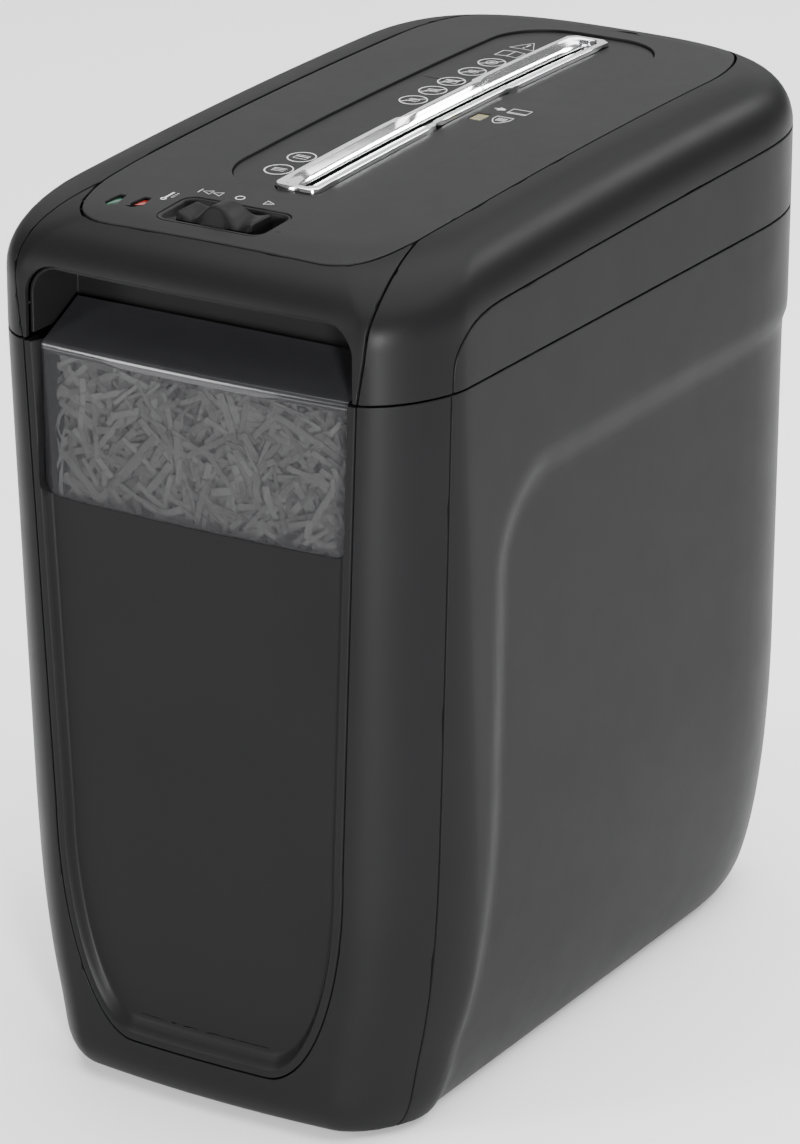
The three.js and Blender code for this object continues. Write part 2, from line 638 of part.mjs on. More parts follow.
// A smoked window whose upper edge rolls back into the ledge that the fingers pull on.
function binWindow() {
  const half = WINDOW_HALF_WIDTH;
  const pane = cabinetForm(PANEL_RECESS - 0.4)
    .subtract(cabinetForm(PANEL_RECESS + PANEL_WALL, SEAM_Z + 30))
    .intersect(alongY(windowShape(0), -30, GRIP_DEPTH));
  const front = PANEL_RECESS;
  const back = GRIP_DEPTH - 4;
  const ledge = polygon([
    [front, WINDOW_TOP_Z - 5], [front + 2.2, WINDOW_TOP_Z - 5], [front + 4, WINDOW_TOP_Z - 1.5],
    [back, SEAM_Z + 8], [back - 0.5, SEAM_Z + 10.8], [front + 3, WINDOW_TOP_Z + 1.2],
    [front + 0.6, WINDOW_TOP_Z],
  ]);
  return pane.add(alongX(ledge, -half, half));
}

// A low rail on the cabinet floor that the bin slides along.
function binRail(side) {
  const x = side * RAIL_HALF_SPACING;
  const top = CHIN_HEIGHT + 2.4 - GAP;
  return block(x - RAIL_WIDTH / 2, x + RAIL_WIDTH / 2, SIDE_SEAM_Y + 6, BIN_BACK - 10,
    FOOT_HEIGHT + SHELL_WALL + GAP, top);
}

// ---- cutting unit ----
// A shaft and its discs, turned as one; the left one's discs fall between the right one's.
function cutter(side) {
  const first = SLOT_START + DISC_LEAD + (side < 0 ? DISC_PITCH / 2 : 0);
  const rear = REAR_PLATE_Y + END_PLATE_THICKNESS + 4;
  const front = FRONT_PLATE_Y - (side < 0 ? 8.5 : 17);
  const profile = [[0, front], [SHAFT_RADIUS, front], [SHAFT_RADIUS, SLOT_START + 0.8],
    [CORE_RADIUS, SLOT_START + 0.8]];
  for (let i = 0; i < DISC_COUNT; i++) {
    const y = first + i * DISC_PITCH;
    const end = y + DISC_THICKNESS;
    profile.push([CORE_RADIUS, y], [DISC_RADIUS, y], [DISC_RADIUS, end], [CORE_RADIUS, end]);
  }
  const coreEnd = SLOT_END + 1;
  profile.push([CORE_RADIUS, coreEnd], [SHAFT_RADIUS, coreEnd], [SHAFT_RADIUS, rear], [0, rear]);
  const points = profile.map(([radius, y]) => new THREE.Vector2(radius, y));
  return toSolid(new THREE.LatheGeometry(points, 12).translate(side * CUTTER_X, 0, CUTTER_Z));
}

// A steel plate that holds both shafts' bushes.
function endPlate(y, right) {
  const top = CUTTER_Z + DISC_RADIUS + 5;
  const left = -CUTTER_X - 33;
  const plate = block(left, right, y, y + END_PLATE_THICKNESS, BASE_TOP_Z + GAP, top);
  const hole = SHAFT_RADIUS + BORE_CLEARANCE + BUSH_WALL + GAP;
  return [-1, 1].reduce((rest, side) =>
    rest.subtract(rod(hole, side * CUTTER_X, CUTTER_Z, y - 5, y + 10)), plate);
}

const FRONT_PLATE_RIGHT = halfWidthAt(BASE_TOP_Z) - BASE_INSET - BASE_WALL - 0.8;
const frontEndPlate = () => endPlate(FRONT_PLATE_Y, FRONT_PLATE_RIGHT)
  .subtract(rod(MOTOR_SHAFT_RADIUS + 1, MOTOR_X, CUTTER_Z, FRONT_PLATE_Y - 5, FRONT_PLATE_Y + 10));
const rearEndPlate = () => endPlate(REAR_PLATE_Y, CUTTER_X + 33);

// A plain bearing for one end of a shaft.
function bush(side, plateY) {
  const inner = SHAFT_RADIUS + BORE_CLEARANCE;
  const outer = inner + BUSH_WALL;
  const from = plateY - 0.8;
  const to = plateY + END_PLATE_THICKNESS + 0.8;
  return turned([[inner, from], [outer, from], [outer, to], [inner, to]], side * CUTTER_X, CUTTER_Z);
}

// A rod that keeps the end plates apart.
function tieRod(side, level) {
  const x = side * (CUTTER_X + DISC_RADIUS + 4);
  const from = FRONT_PLATE_Y + END_PLATE_THICKNESS + GAP;
  return rod(TIE_ROD_RADIUS, x, CUTTER_Z + level * 17, from, REAR_PLATE_Y - GAP, 10);
}

// A bar under each cutter with a finger in every gap between its discs.
function stripperComb(side) {
  const first = SLOT_START + DISC_LEAD + (side < 0 ? DISC_PITCH / 2 : 0);
  const inner = CUTTER_X + 7;
  const outer = CUTTER_X + DISC_RADIUS;
  const span = (a, b) => (side > 0 ? [a, b] : [-b, -a]);
  const low = BASE_TOP_Z + GAP + 1;
  let comb = block(...span(outer - 7, outer), SLOT_START, SLOT_END, low, low + 6);
  for (let i = 0; i < DISC_COUNT - 1; i++) {
    const from = first + i * DISC_PITCH + DISC_THICKNESS + 1.2;
    const to = first + (i + 1) * DISC_PITCH - 1.2;
    const finger = block(...span(inner, outer), from, to, low + 3, CUTTER_Z - CORE_RADIUS - 1);
    comb = comb.add(finger);
  }
  return comb;
}

// ---- gear train ----
const SYNC_MODULE = (2 * CUTTER_X) / SYNC_TEETH;
const driveReach = (DRIVE_MODULE * (DRIVE_TEETH + PINION_TEETH)) / 2;
const motorReach = (REDUCTION_MODULE * (REDUCTION_TEETH + PINION_TEETH)) / 2;
const idlerAlong = (driveReach ** 2 - motorReach ** 2 + MOTOR_SPAN ** 2) / (2 * MOTOR_SPAN);
const IDLER_X = CUTTER_X + idlerAlong;
const IDLER_Z = CUTTER_Z + Math.sqrt(driveReach ** 2 - idlerAlong ** 2);
const SYNC_Y = FRONT_PLATE_Y - 2 - GEAR_FACE;
const DRIVE_Y = SYNC_Y - 2 - GEAR_FACE;
const REDUCTION_Y = DRIVE_Y - 2 - GEAR_FACE;
const AXLE_RADIUS = 3;

// Involute gear outline with one tooth centred on the angle phase.
function gearShape(teeth, module, phase) {
  const pitch = (module * teeth) / 2;
  const root = pitch - 1.05 * module;
  const tip = pitch + 0.8 * module;
  const pressure = THREE.MathUtils.degToRad(25);
  const base = pitch * Math.cos(pressure);
  const involute = (angle) => Math.tan(angle) - angle;
  const halfTooth = Math.PI / (2 * teeth) - GEAR_BACKLASH / (2 * pitch) + involute(pressure);
  const halfAngle = (radius) => halfTooth - involute(Math.acos(Math.min(1, base / radius)));
  const flank = [root, (root + tip) / 2, tip];
  const point = (radius, angle) => [radius * Math.cos(angle), radius * Math.sin(angle)];
  const outline = [];
  for (let i = 0; i < teeth; i++) {
    const middle = phase + (2 * Math.PI * i) / teeth;
    for (const radius of flank) outline.push(point(radius, middle - halfAngle(radius)));
    for (const radius of flank.toReversed()) outline.push(point(radius, middle + halfAngle(radius)));
  }
  return polygon(outline);
}

// A spur gear on an axis parallel to Y.
function gear(teeth, module, phase, x, z, from, to, bore) {
  const outline = gearShape(teeth, module, phase);
  const disc = new THREE.ExtrudeGeometry(outline, { depth: to - from, bevelEnabled: false });
  const blank = toSolid(disc.translate(0, 0, -to).applyMatrix4(turnToY).translate(x, 0, z));
  return blank.subtract(rod(bore, x, z, from - 5, to + 5));
}

const driveAngle = Math.atan2(IDLER_Z - CUTTER_Z, IDLER_X - CUTTER_X);
const motorAngle = Math.atan2(CUTTER_Z - IDLER_Z, MOTOR_X - IDLER_X);
const keyed = SHAFT_RADIUS + BORE_CLEARANCE;
const syncGear = (side) => gear(SYNC_TEETH, SYNC_MODULE, side > 0 ? Math.PI : Math.PI / SYNC_TEETH,
  side * CUTTER_X, CUTTER_Z, SYNC_Y, SYNC_Y + GEAR_FACE, keyed);
const driveGear = () => gear(DRIVE_TEETH, DRIVE_MODULE, driveAngle,
  CUTTER_X, CUTTER_Z, DRIVE_Y, DRIVE_Y + GEAR_FACE, keyed);

// The idler: a wide wheel driven by the motor, with the pinion that drives the cutter.
function reductionGear() {
  const bore = AXLE_RADIUS + BORE_CLEARANCE;
  const phase = driveAngle + Math.PI + Math.PI / PINION_TEETH;
  const pinion = gear(PINION_TEETH, DRIVE_MODULE, phase, IDLER_X, IDLER_Z,
    REDUCTION_Y + 1, DRIVE_Y + GEAR_FACE, bore);
  const wheel = gear(REDUCTION_TEETH, REDUCTION_MODULE, motorAngle, IDLER_X, IDLER_Z,
    REDUCTION_Y, REDUCTION_Y + GEAR_FACE, bore);
  return wheel.add(pinion);
}

const motorPinion = () => gear(PINION_TEETH, REDUCTION_MODULE,
  motorAngle + Math.PI + Math.PI / PINION_TEETH, MOTOR_X, CUTTER_Z,
  REDUCTION_Y, REDUCTION_Y + GEAR_FACE, MOTOR_SHAFT_RADIUS + BORE_CLEARANCE);
const gearAxle = () => rod(AXLE_RADIUS, IDLER_X, IDLER_Z, REDUCTION_Y - 1, FRONT_PLATE_Y - GAP);

// A flat cover in front of the gears.
function gearboxCover() {
  const back = REDUCTION_Y - 1 - GAP;
  const left = CUTTER_X - DRIVE_TEETH - 4;
  const right = MOTOR_X + 18;
  const top = IDLER_Z + 22.5;
  return alongY(polygon([
    [left, BASE_TOP_Z + 4], [right, BASE_TOP_Z + 4], [right, CUTTER_Z + 14], [IDLER_X + 22, top - 5],
    [IDLER_X + 12, top], [IDLER_X - 12, top], [CUTTER_X + 5, top - 7], [left + 8, top - 9],
    [left, top - 16],
  ]), back - 2, back);
}

// ---- motor ----
const MOTOR_FRONT = FRONT_PLATE_Y + END_PLATE_THICKNESS + GAP;

// The motor's case, bored for its shaft.
function motorCan() {
  const bore = MOTOR_SHAFT_RADIUS + BORE_CLEARANCE;
  const to = MOTOR_FRONT + MOTOR_LENGTH;
  return turned([[bore, MOTOR_FRONT], [MOTOR_RADIUS - 2, MOTOR_FRONT], [MOTOR_RADIUS, MOTOR_FRONT + 2],
    [MOTOR_RADIUS, to - 6], [MOTOR_RADIUS - 6, to], [bore, to]], MOTOR_X, CUTTER_Z, 20);
}
const motorShaft = () => rod(MOTOR_SHAFT_RADIUS, MOTOR_X, CUTTER_Z, REDUCTION_Y - 1,
  MOTOR_FRONT + MOTOR_LENGTH + 14, 12);

// A hub with six pitched blades.
function motorFan() {
  const from = MOTOR_FRONT + MOTOR_LENGTH + 4;
  let fan = rod(7, MOTOR_X, CUTTER_Z, from, from + 8);
  for (let i = 0; i < 6; i++) {
    const blade = new THREE.BoxGeometry(FAN_RADIUS - 4, 6, 1.6).translate(FAN_RADIUS / 2 + 2, 0, 0);
    blade.rotateX(0.5).rotateY((Math.PI / 3) * i).translate(MOTOR_X, from + 4, CUTTER_Z);
    fan = fan.add(toSolid(blade));
  }
  const bore = MOTOR_SHAFT_RADIUS + BORE_CLEARANCE;
  return fan.subtract(rod(bore, MOTOR_X, CUTTER_Z, from - 5, from + 15, 12));
}

// ---- electrics and controls ----
const BOARD_X = -CUTTER_X - DISC_RADIUS - 24;
const controlBoard = () => block(BOARD_X, BOARD_X + 1.6, 110, 270, BASE_TOP_Z + 4, CUTTER_Z + 16);
const driveRelay = () => block(BOARD_X + 1.6 + GAP, BOARD_X + 13, 150, 178, CUTTER_Z - 18, CUTTER_Z + 2);
const INTERLOCK = { x: 40, z: 284 };

// A switch that the closed bin presses.
function interlockSwitch() {
  const { x, z } = INTERLOCK;
  const front = BIN_BACK + 8;
  return block(x - 10, x + 10, front, front + 12, z - 8, z + 8)
    .subtract(rod(3.4, x, z, front - 5, front + 8));
}
const interlockPlunger = () =>
  rod(3, INTERLOCK.x, INTERLOCK.z, BIN_BACK + 0.5, BIN_BACK + 14, 12);

// A dished well that the mode knob slides in.
function switchBase() {
  const well = alongZ(pocketShape(-1.2), 350, 450).subtract(headForm(POCKET_DEPTH, SEAM_Z - 20));
  return headLayer(0.4, POCKET_DEPTH + 2).intersect(alongZ(pocketShape(0), 350, 450)).subtract(well);
}

const KNOB_X = (POCKET_LEFT + POCKET_RIGHT) / 2;
const KNOB_Y = (POCKET_FRONT + POCKET_BACK) / 2;

// A finger bar with a hump in the middle and a hollow on each side of it.
function modeKnob() {
  const back = KNOB_Y + KNOB_DEPTH / 2;
  const low = topHeight(back) - POCKET_DEPTH + 2 * GAP;
  const half = KNOB_WIDTH / 2;
  const shape = new THREE.Shape();
  shape.moveTo(KNOB_X - half, low);
  shape.lineTo(KNOB_X + half, low);
  shape.lineTo(KNOB_X + half, low + 7);
  shape.quadraticCurveTo(KNOB_X + half * 0.6, low + 4.6, KNOB_X + half * 0.3, low + 8);
  shape.quadraticCurveTo(KNOB_X, low + 9.6, KNOB_X - half * 0.3, low + 8);
  shape.quadraticCurveTo(KNOB_X - half * 0.6, low + 4.6, KNOB_X - half, low + 7);
  return alongY(shape, KNOB_Y - KNOB_DEPTH / 2, back);
}

// The switch under the knob.
function modeSwitch() {
  const top = topHeight(POCKET_FRONT) - POCKET_DEPTH - 2 - GAP;
  return block(KNOB_X - 20, KNOB_X + 20, GRIP_DEPTH + 3, GRIP_DEPTH + 14, top - 17, top);
}

// Collar in the back wall where the mains lead would pass.
function cordInlet() {
  const across = (-INLET_X / HALF_WIDTH) ** BACK_SQUARENESS;
  const back = BACK_START + BACK_ROUNDING * (1 - across) ** (1 / BACK_SQUARENESS) - 0.4;
  const front = back - 11.6;
  return turned([[3.6, front], [5.2, front], [5.2, back], [3.6, back]], INLET_X, INLET_Z);
}

const FEET = [-1, 1].flatMap((side) => [
  [side * (HALF_WIDTH - 44), 55], [side * (HALF_WIDTH - 44), DEPTH - 70],
]);
const foot = ([x, y]) => post(FOOT_RADIUS, x, y, 0, FOOT_HEIGHT - GAP, 20);

const assembly = new THREE.Group();
export default assembly;

// Adds a named piece to the machine.
function place(name, solid, finish) {
  const mesh = new THREE.Mesh(toGeometry(solid), finish());
  mesh.name = name;
  assembly.add(mesh);
}

place('cabinet_shell', cabinetShell(), material.shell);
place('front_bezel', frontBezel(), material.shell);
place('head_housing', headHousing(), material.shell);
place('top_cover', topCover(), material.shell);
place('front_fascia', frontFascia(), material.shell);
place('grip_recess', gripRecess(), material.shell);
place('top_panel', topPanel(), material.panel);
place('sensor_plate', sensorPlate(), material.panel);
place('entry_trim', entryTrim(), material.chrome);
place('paper_guide', paperGuide(), material.inner);
for (const [name, { finish }] of Object.entries(LAMPS)) place(name, lamp(name), finish);
place('sensor_light', sensorLight(), material.yellow);
place('switch_base', switchBase(), material.inner);
place('mode_knob', modeKnob(), material.shell);
place('mode_switch', modeSwitch(), material.inner);
place('cord_inlet', cordInlet(), material.rubber);

place('bin_tub', binTub(), material.inner);
place('bin_front', binFront(), material.shell);
place('bin_window', binWindow(), material.window);
place('bin_rail_left', binRail(-1), material.inner);
place('bin_rail_right', binRail(1), material.inner);
place('interlock_switch', interlockSwitch(), material.inner);
place('interlock_plunger', interlockPlunger(), material.nylon);

place('head_base', headBase(), material.inner);
place('end_plate_front', frontEndPlate(), material.steel);
place('end_plate_rear', rearEndPlate(), material.steel);
for (const [side, hand] of [[-1, 'left'], [1, 'right']]) {
  place(`cutter_${hand}`, cutter(side), material.steel);
  place(`bush_front_${hand}`, bush(side, FRONT_PLATE_Y), material.bronze);
  place(`bush_rear_${hand}`, bush(side, REAR_PLATE_Y), material.bronze);
  place(`tie_rod_upper_${hand}`, tieRod(side, 1), material.steel);
  place(`tie_rod_lower_${hand}`, tieRod(side, -1), material.steel);
  place(`stripper_comb_${hand}`, stripperComb(side), material.inner);
  place(`sync_gear_${hand}`, syncGear(side), material.steel);
}
place('drive_gear', driveGear(), material.nylon);
place('reduction_gear', reductionGear(), material.nylon);
place('gear_axle', gearAxle(), material.steel);
place('gearbox_cover', gearboxCover(), material.inner);
place('motor_can', motorCan(), material.steel);
place('motor_shaft', motorShaft(), material.steel);
place('motor_pinion', motorPinion(), material.bronze);
place('motor_fan', motorFan(), material.nylon);
place('control_board', controlBoard(), material.board);
place('drive_relay', driveRelay(), material.inner);
FEET.forEach((spot, i) => place(`foot_${i + 1}`, foot(spot), material.rubber));
SCREWS.forEach((spot, i) => place(`head_screw_${i + 1}`, headScrew(spot), material.steel));

// The origin is the middle of the whole machine's footprint, on the floor.
const bounds = new THREE.Box3().setFromObject(assembly);
assembly.position.y = -(bounds.min.y + bounds.max.y) / 2;
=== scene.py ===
"""Deskside cross-cut paper shredder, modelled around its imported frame.

The outer form is one set of curves: cabinet, columns, head and bin front are all cut from it or laid
on it, so neighbours meet at even gaps. Lengths are metres, with Y counted from the front face at the
seam while a piece is being made, and moved into the frame when the piece is finished.
"""
import json
import math
import random

import bmesh
import bpy
from mathutils import Matrix, Vector


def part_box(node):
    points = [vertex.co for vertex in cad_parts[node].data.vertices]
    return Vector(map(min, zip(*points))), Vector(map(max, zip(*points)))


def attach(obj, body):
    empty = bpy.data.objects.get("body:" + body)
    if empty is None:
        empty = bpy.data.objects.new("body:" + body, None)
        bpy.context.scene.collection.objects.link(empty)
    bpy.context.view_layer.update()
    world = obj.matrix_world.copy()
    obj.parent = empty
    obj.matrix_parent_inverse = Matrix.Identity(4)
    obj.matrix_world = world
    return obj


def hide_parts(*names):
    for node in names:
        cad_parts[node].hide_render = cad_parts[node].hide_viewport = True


bl_info = {
    "name": "Paper shredder",
    "version": (1, 0, 0),
    "blender": (4, 5, 0),
    "location": "View3D > Sidebar > Shredder",
    "description": "Builds the casings, bin, controls and finishes of a cross-cut paper shredder",
    "category": "Add Mesh",
}

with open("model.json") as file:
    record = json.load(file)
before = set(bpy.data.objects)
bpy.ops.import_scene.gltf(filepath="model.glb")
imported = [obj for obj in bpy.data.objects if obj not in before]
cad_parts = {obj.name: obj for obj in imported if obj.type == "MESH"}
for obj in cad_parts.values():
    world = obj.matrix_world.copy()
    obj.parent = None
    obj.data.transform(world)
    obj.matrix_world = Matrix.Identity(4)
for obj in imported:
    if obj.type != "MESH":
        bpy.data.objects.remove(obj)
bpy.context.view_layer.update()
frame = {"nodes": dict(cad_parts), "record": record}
MM = 0.001
RAIL_SETBACK = 37.5 * MM
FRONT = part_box("bin_rail_left")[0].y - RAIL_SETBACK
FAR = 0.6
CLEAN = 0.7 * MM


def local_box(node):
    """A CAD node's lowest and highest corners, with Y counted from the front face."""
    low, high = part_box(node)
    shift = Vector((0, FRONT, 0))
    return low - shift, high - shift


HEAD_LOW, HEAD_HIGH = local_box("head_housing")
CABINET_LOW, CABINET_HIGH = local_box("cabinet_shell")
KNOB_LOW, KNOB_HIGH = local_box("mode_knob")
TRIM_LOW, TRIM_HIGH = local_box("entry_trim")
PLATE_LOW, PLATE_HIGH = local_box("sensor_plate")
POCKET_LOW, POCKET_HIGH = local_box("switch_base")
TUB_LOW, TUB_HIGH = local_box("bin_tub")


# ---- sizes and colours that a user would change ----
def length(name, description, default):
    return bpy.props.FloatProperty(
        name=name, description=description, default=default, unit="LENGTH", precision=4)


def colour(name, description, default):
    return bpy.props.FloatVectorProperty(
        name=name, description=description, default=default, size=3, min=0, max=1, subtype="COLOR")


class ShredderSizes(bpy.types.PropertyGroup):
    half_width: length("Half width", "Half the head's width", HEAD_HIGH.x)
    depth: length("Depth", "Front face to back at the seam", HEAD_HIGH.y)
    seam: length("Seam height", "Height of the joint under the head", CABINET_HIGH.z + 0.15 * MM)
    floor_gap: length("Floor gap", "Height of the cabinet's underside", CABINET_LOW.z)
    crown: length("Crown height", "Highest point of the top", local_box("top_panel")[1].z)
    wall: length("Wall", "Wall thickness of the casings", 2.6 * MM)
    seam_gap: length("Seam gap", "Gap between neighbouring casings", 0.75 * MM)
    edge: length("Edge rounding", "Rounding on the casings' cut edges", 0.45 * MM)
    recess: length("Side recess", "Depth of the recess pressed into each side", 2.4 * MM)
    rim: length("Bin rim", "Width of the raised rim round the bin's front", 3.6 * MM)
    panel_recess: length("Panel recess", "Depth of the bin's panel behind its rim", 5 * MM)
    strips: bpy.props.IntProperty(
        name="Paper strips", description="Number of cut strips in the bin", default=1900, min=0)


class ShredderColours(bpy.types.PropertyGroup):
    casing: colour("Casing", "Satin black casings", (0.0055, 0.0055, 0.0058))
    panel: colour("Panel", "Charcoal top panel", (0.009, 0.009, 0.0094))
    window: colour("Window", "Smoked window", (0.012, 0.012, 0.013))
    trim: colour("Trim", "Polished entry trim", (0.86, 0.86, 0.87))
    steel: colour("Steel", "Ground steel", (0.46, 0.47, 0.49))
    bronze: colour("Bronze", "Sintered bushes", (0.45, 0.27, 0.11))
    nylon: colour("Nylon", "Natural nylon gears", (0.72, 0.7, 0.63))
    board: colour("Board", "Circuit board lacquer", (0.015, 0.1, 0.045))
    paper: colour("Paper", "Shredded paper", (0.78, 0.78, 0.77))
    print_ink: colour("Print", "Printed symbols", (0.5, 0.5, 0.5))
    floor: colour("Floor", "Studio floor", (0.9, 0.9, 0.9))


def sizes():
    return bpy.context.scene.shredder_sizes


def colours():
    return bpy.context.scene.shredder_colours


# ---- outer form ----
FRONT_LEAN = 0.012
SIDE_DRAFT = 0.003
SIDE_TUCK = 26 * MM
SIDE_TUCK_HEIGHT = 130 * MM
BOTTOM_RADIUS = 18 * MM
FRONT_BULGE = 3 * MM
CORNER_WIDTH = 26.4 * MM
CORNER_DEPTH = 40 * MM
CORNER_POWER = 2 / 1.6
BACK_ROUNDING = 91 * MM
BACK_POWER = 2 / 2.9
EDGE_RADIUS = 26 * MM
EDGE_POWER = 2 / 2.2
FRONT_EDGE_REACH = 1.4
CROWN_RISE = 11 * MM
SIDE_SEAM_Y = 31.5 * MM
MOUTH_TAPER = 8.7 * MM
MOUTH_ARC_TOP = 125 * MM
MOUTH_ARC_WIDTH = 38 * MM
CHIN = 24.3 * MM
GRIP_DEPTH = 34 * MM
GRIP_TOP = 362 * MM


def round_off(z, height):
    return 1 - math.sqrt(1 - (min(max(0, height - z), height) / height) ** 2)


def smooth(low, high, value):
    share = min(max((value - low) / (high - low), 0), 1)
    return share * share * (3 - 2 * share)


def mouth_half():
    return sizes().half_width - CORNER_WIDTH


def top_height(y):
    crown_y = sizes().depth * 0.8
    return sizes().crown - CROWN_RISE * ((y - crown_y) / crown_y) ** 2


def half_width_at(z):
    drop = sizes().seam - z
    return sizes().half_width - SIDE_DRAFT * drop - SIDE_TUCK * round_off(z, SIDE_TUCK_HEIGHT)


def front_at(z):
    return FRONT_LEAN * (sizes().seam - z) + BOTTOM_RADIUS * round_off(z, BOTTOM_RADIUS)


def back_at(z):
    return sizes().depth - front_at(z)


def taper_at(z):
    return MOUTH_TAPER * (sizes().seam - z) / (sizes().seam - MOUTH_ARC_TOP)


def corner_start_at(z):
    low_corner = 12 * MM * round_off(z, 40 * MM) - 20 * MM * round_off(z, 90 * MM)
    return mouth_half() - taper_at(z) + low_corner


def corner_depth_at(z):
    return CORNER_DEPTH + 0.05 * (sizes().seam - z) - 35 * MM * round_off(z, 40 * MM)


def outline(z, inset=0.0, pulled=0.0, side_steps=30):
    """Plan of the form at height z, as half of it from the front's middle to the back's middle."""
    half = half_width_at(z) - inset - pulled
    front = front_at(z) + inset + FRONT_EDGE_REACH * pulled
    corner_width = max(half_width_at(z) - corner_start_at(z) - inset + 0.5 * pulled, 3 * MM)
    corner_depth = max(corner_depth_at(z) - inset + 0.6 * pulled, 3 * MM)
    back_start = sizes().depth - BACK_ROUNDING
    back = back_at(z) - inset - pulled
    flat = half - corner_width
    points = []
    for i in range(10):
        x = flat * i / 10
        points.append((x, front - FRONT_BULGE * (1 - (x / flat) ** 2)))
    for i in range(16):
        turn = math.pi / 2 * i / 16
        across = corner_width * math.sin(turn) ** CORNER_POWER
        along = corner_depth * (1 - math.cos(turn) ** CORNER_POWER)
        points.append((flat + across, front + along))
    for i in range(side_steps):
        points.append((half, front + corner_depth + (back_start - front - corner_depth) * i / side_steps))
    for i in range(25):
        turn = math.pi / 2 * i / 24
        across = half * max(math.cos(turn), 0) ** BACK_POWER
        points.append((across, back_start + (back - back_start) * math.sin(turn) ** BACK_POWER))
    points[-1] = (0.0, points[-1][1])
    return points


def whole(half_points):
    """Mirrors half an outline across X to close it."""
    return half_points + [(-x, y) for x, y in reversed(half_points[1:-1])]


def recess_depth(x, y, z):
    """How far the shallow recess sinks the side surface at a point."""
    radius = 46 * MM
    edge_y = 47 * MM + 19 * MM * (1 - math.exp(-max(z - 34 * MM, 0) / (60 * MM)))
    inside_y = y - edge_y
    inside_z = 284 * MM - z
    if inside_y < radius and inside_z < radius:
        inside = radius - math.hypot(radius - inside_y, radius - inside_z)
    else:
        inside = min(inside_y, inside_z)
    return sizes().recess * smooth(0, 9 * MM, inside) * smooth(70 * MM, 86 * MM, abs(x))


def pressed(points, z):
    """An outline with the side recess pressed in."""
    return [(x - math.copysign(recess_depth(x, y, z), x), y) for x, y in points]


def front_surface(x, z, depth=0.0):
    """Y of the form's front at a point, set back by depth."""
    reach = corner_start_at(z)
    front = front_at(z) + depth
    if abs(x) <= reach:
        return front - FRONT_BULGE * (1 - (x / reach) ** 2)
    share = min((abs(x) - reach) / (half_width_at(z) - reach), 1)
    turn = math.asin(share ** (1 / CORNER_POWER))
    return front + corner_depth_at(z) * (1 - math.cos(turn) ** CORNER_POWER)


# ---- mesh building ----
def sweep(bm, rows, around=True, closed=False):
    """Draws the first row of points, then extrudes its edges through each of the others."""
    count = len(rows[0])
    order = bm.verts.layers.int.get("order") or bm.verts.layers.int.new("order")
    verts = bmesh.ops.create_circle(bm, segments=max(count, 3), radius=1)["verts"]
    if count < 3:
        bmesh.ops.delete(bm, geom=verts[count:], context="VERTS")
        verts = verts[:count]
    edges = [e for e in bm.edges if e.verts[0] in verts and e.verts[1] in verts]
    for index, vert in enumerate(verts):
        vert[order] = index
        vert.co = rows[0][index]
    if not around:
        seam = [e for e in edges if {e.verts[0], e.verts[1]} == {verts[0], verts[-1]}]
        if count > 2:
            bmesh.ops.delete(bm, geom=seam, context="EDGES_FACES")
        edges = [e for e in edges if e.is_valid]
    first = edges
    for row in rows[1:]:
        made = bmesh.ops.extrude_edge_only(bm, edges=edges)["geom"]
        for item in made:
            if isinstance(item, bmesh.types.BMVert):
                item.co = row[item[order]]
        edges = [e for e in made if isinstance(e, bmesh.types.BMEdge)
                 and all(v in set(made) for v in e.verts) and is_row_edge(e, order, count)]
    if closed:
        bmesh.ops.bridge_loops(bm, edges=first + edges)
    return edges


def is_row_edge(edge, order, count):
    """Whether an edge runs along a row and not from one row to the next."""
    a, b = (v[order] for v in edge.verts)
    return abs(a - b) in (1, count - 1)


def tidy(bm, merge=0.02 * MM):
    bmesh.ops.remove_doubles(bm, verts=bm.verts, dist=merge)
    bmesh.ops.dissolve_degenerate(bm, edges=bm.edges, dist=merge)
    bmesh.ops.recalc_face_normals(bm, faces=bm.faces)


def to_object(bm, name):
    mesh = bpy.data.meshes.new(name)
    bm.to_mesh(mesh)
    bm.free()
    piece = bpy.data.objects.new(name, mesh)
    bpy.context.scene.collection.objects.link(piece)
    return piece


def solid(name, rows, closed=False):
    """A closed form swept through rows of points."""
    bm = bmesh.new()
    sweep(bm, rows, closed=closed)
    tidy(bm)
    return to_object(bm, name)


def prism(points, axis, start, end):
    """A straight solid whose outline is drawn across the given axis."""
    spot = {
        "x": lambda a, b, along: (along, a, b),
        "y": lambda a, b, along: (a, along, b),
        "z": lambda a, b, along: (a, b, along),
    }[axis]
    bm = bmesh.new()
    verts = [bm.verts.new(spot(a, b, start)) for a, b in points]
    face = bmesh.ops.contextual_create(bm, geom=verts)["faces"]
    raised = bmesh.ops.extrude_face_region(bm, geom=face)["geom"]
    shift = Vector(spot(0, 0, end - start))
    bmesh.ops.translate(bm, verts=[v for v in raised if isinstance(v, bmesh.types.BMVert)], vec=shift)
    bmesh.ops.recalc_face_normals(bm, faces=bm.faces)
    return to_object(bm, "tool")


def slab(x0, x1, y0, y1, z0, z1):
    return prism([(x0, y0), (x1, y0), (x1, y1), (x0, y1)], "z", z0, z1)


def copy_of(piece, name):
    twin = piece.copy()
    twin.data = piece.data.copy()
    twin.name = name
    bpy.context.scene.collection.objects.link(twin)
    return twin


def settle(piece):
    """Applies a piece's modifiers to its mesh."""
    evaluated = piece.evaluated_get(bpy.context.evaluated_depsgraph_get())
    mesh = bpy.data.meshes.new_from_object(evaluated)
    piece.modifiers.clear()
    piece.data = mesh


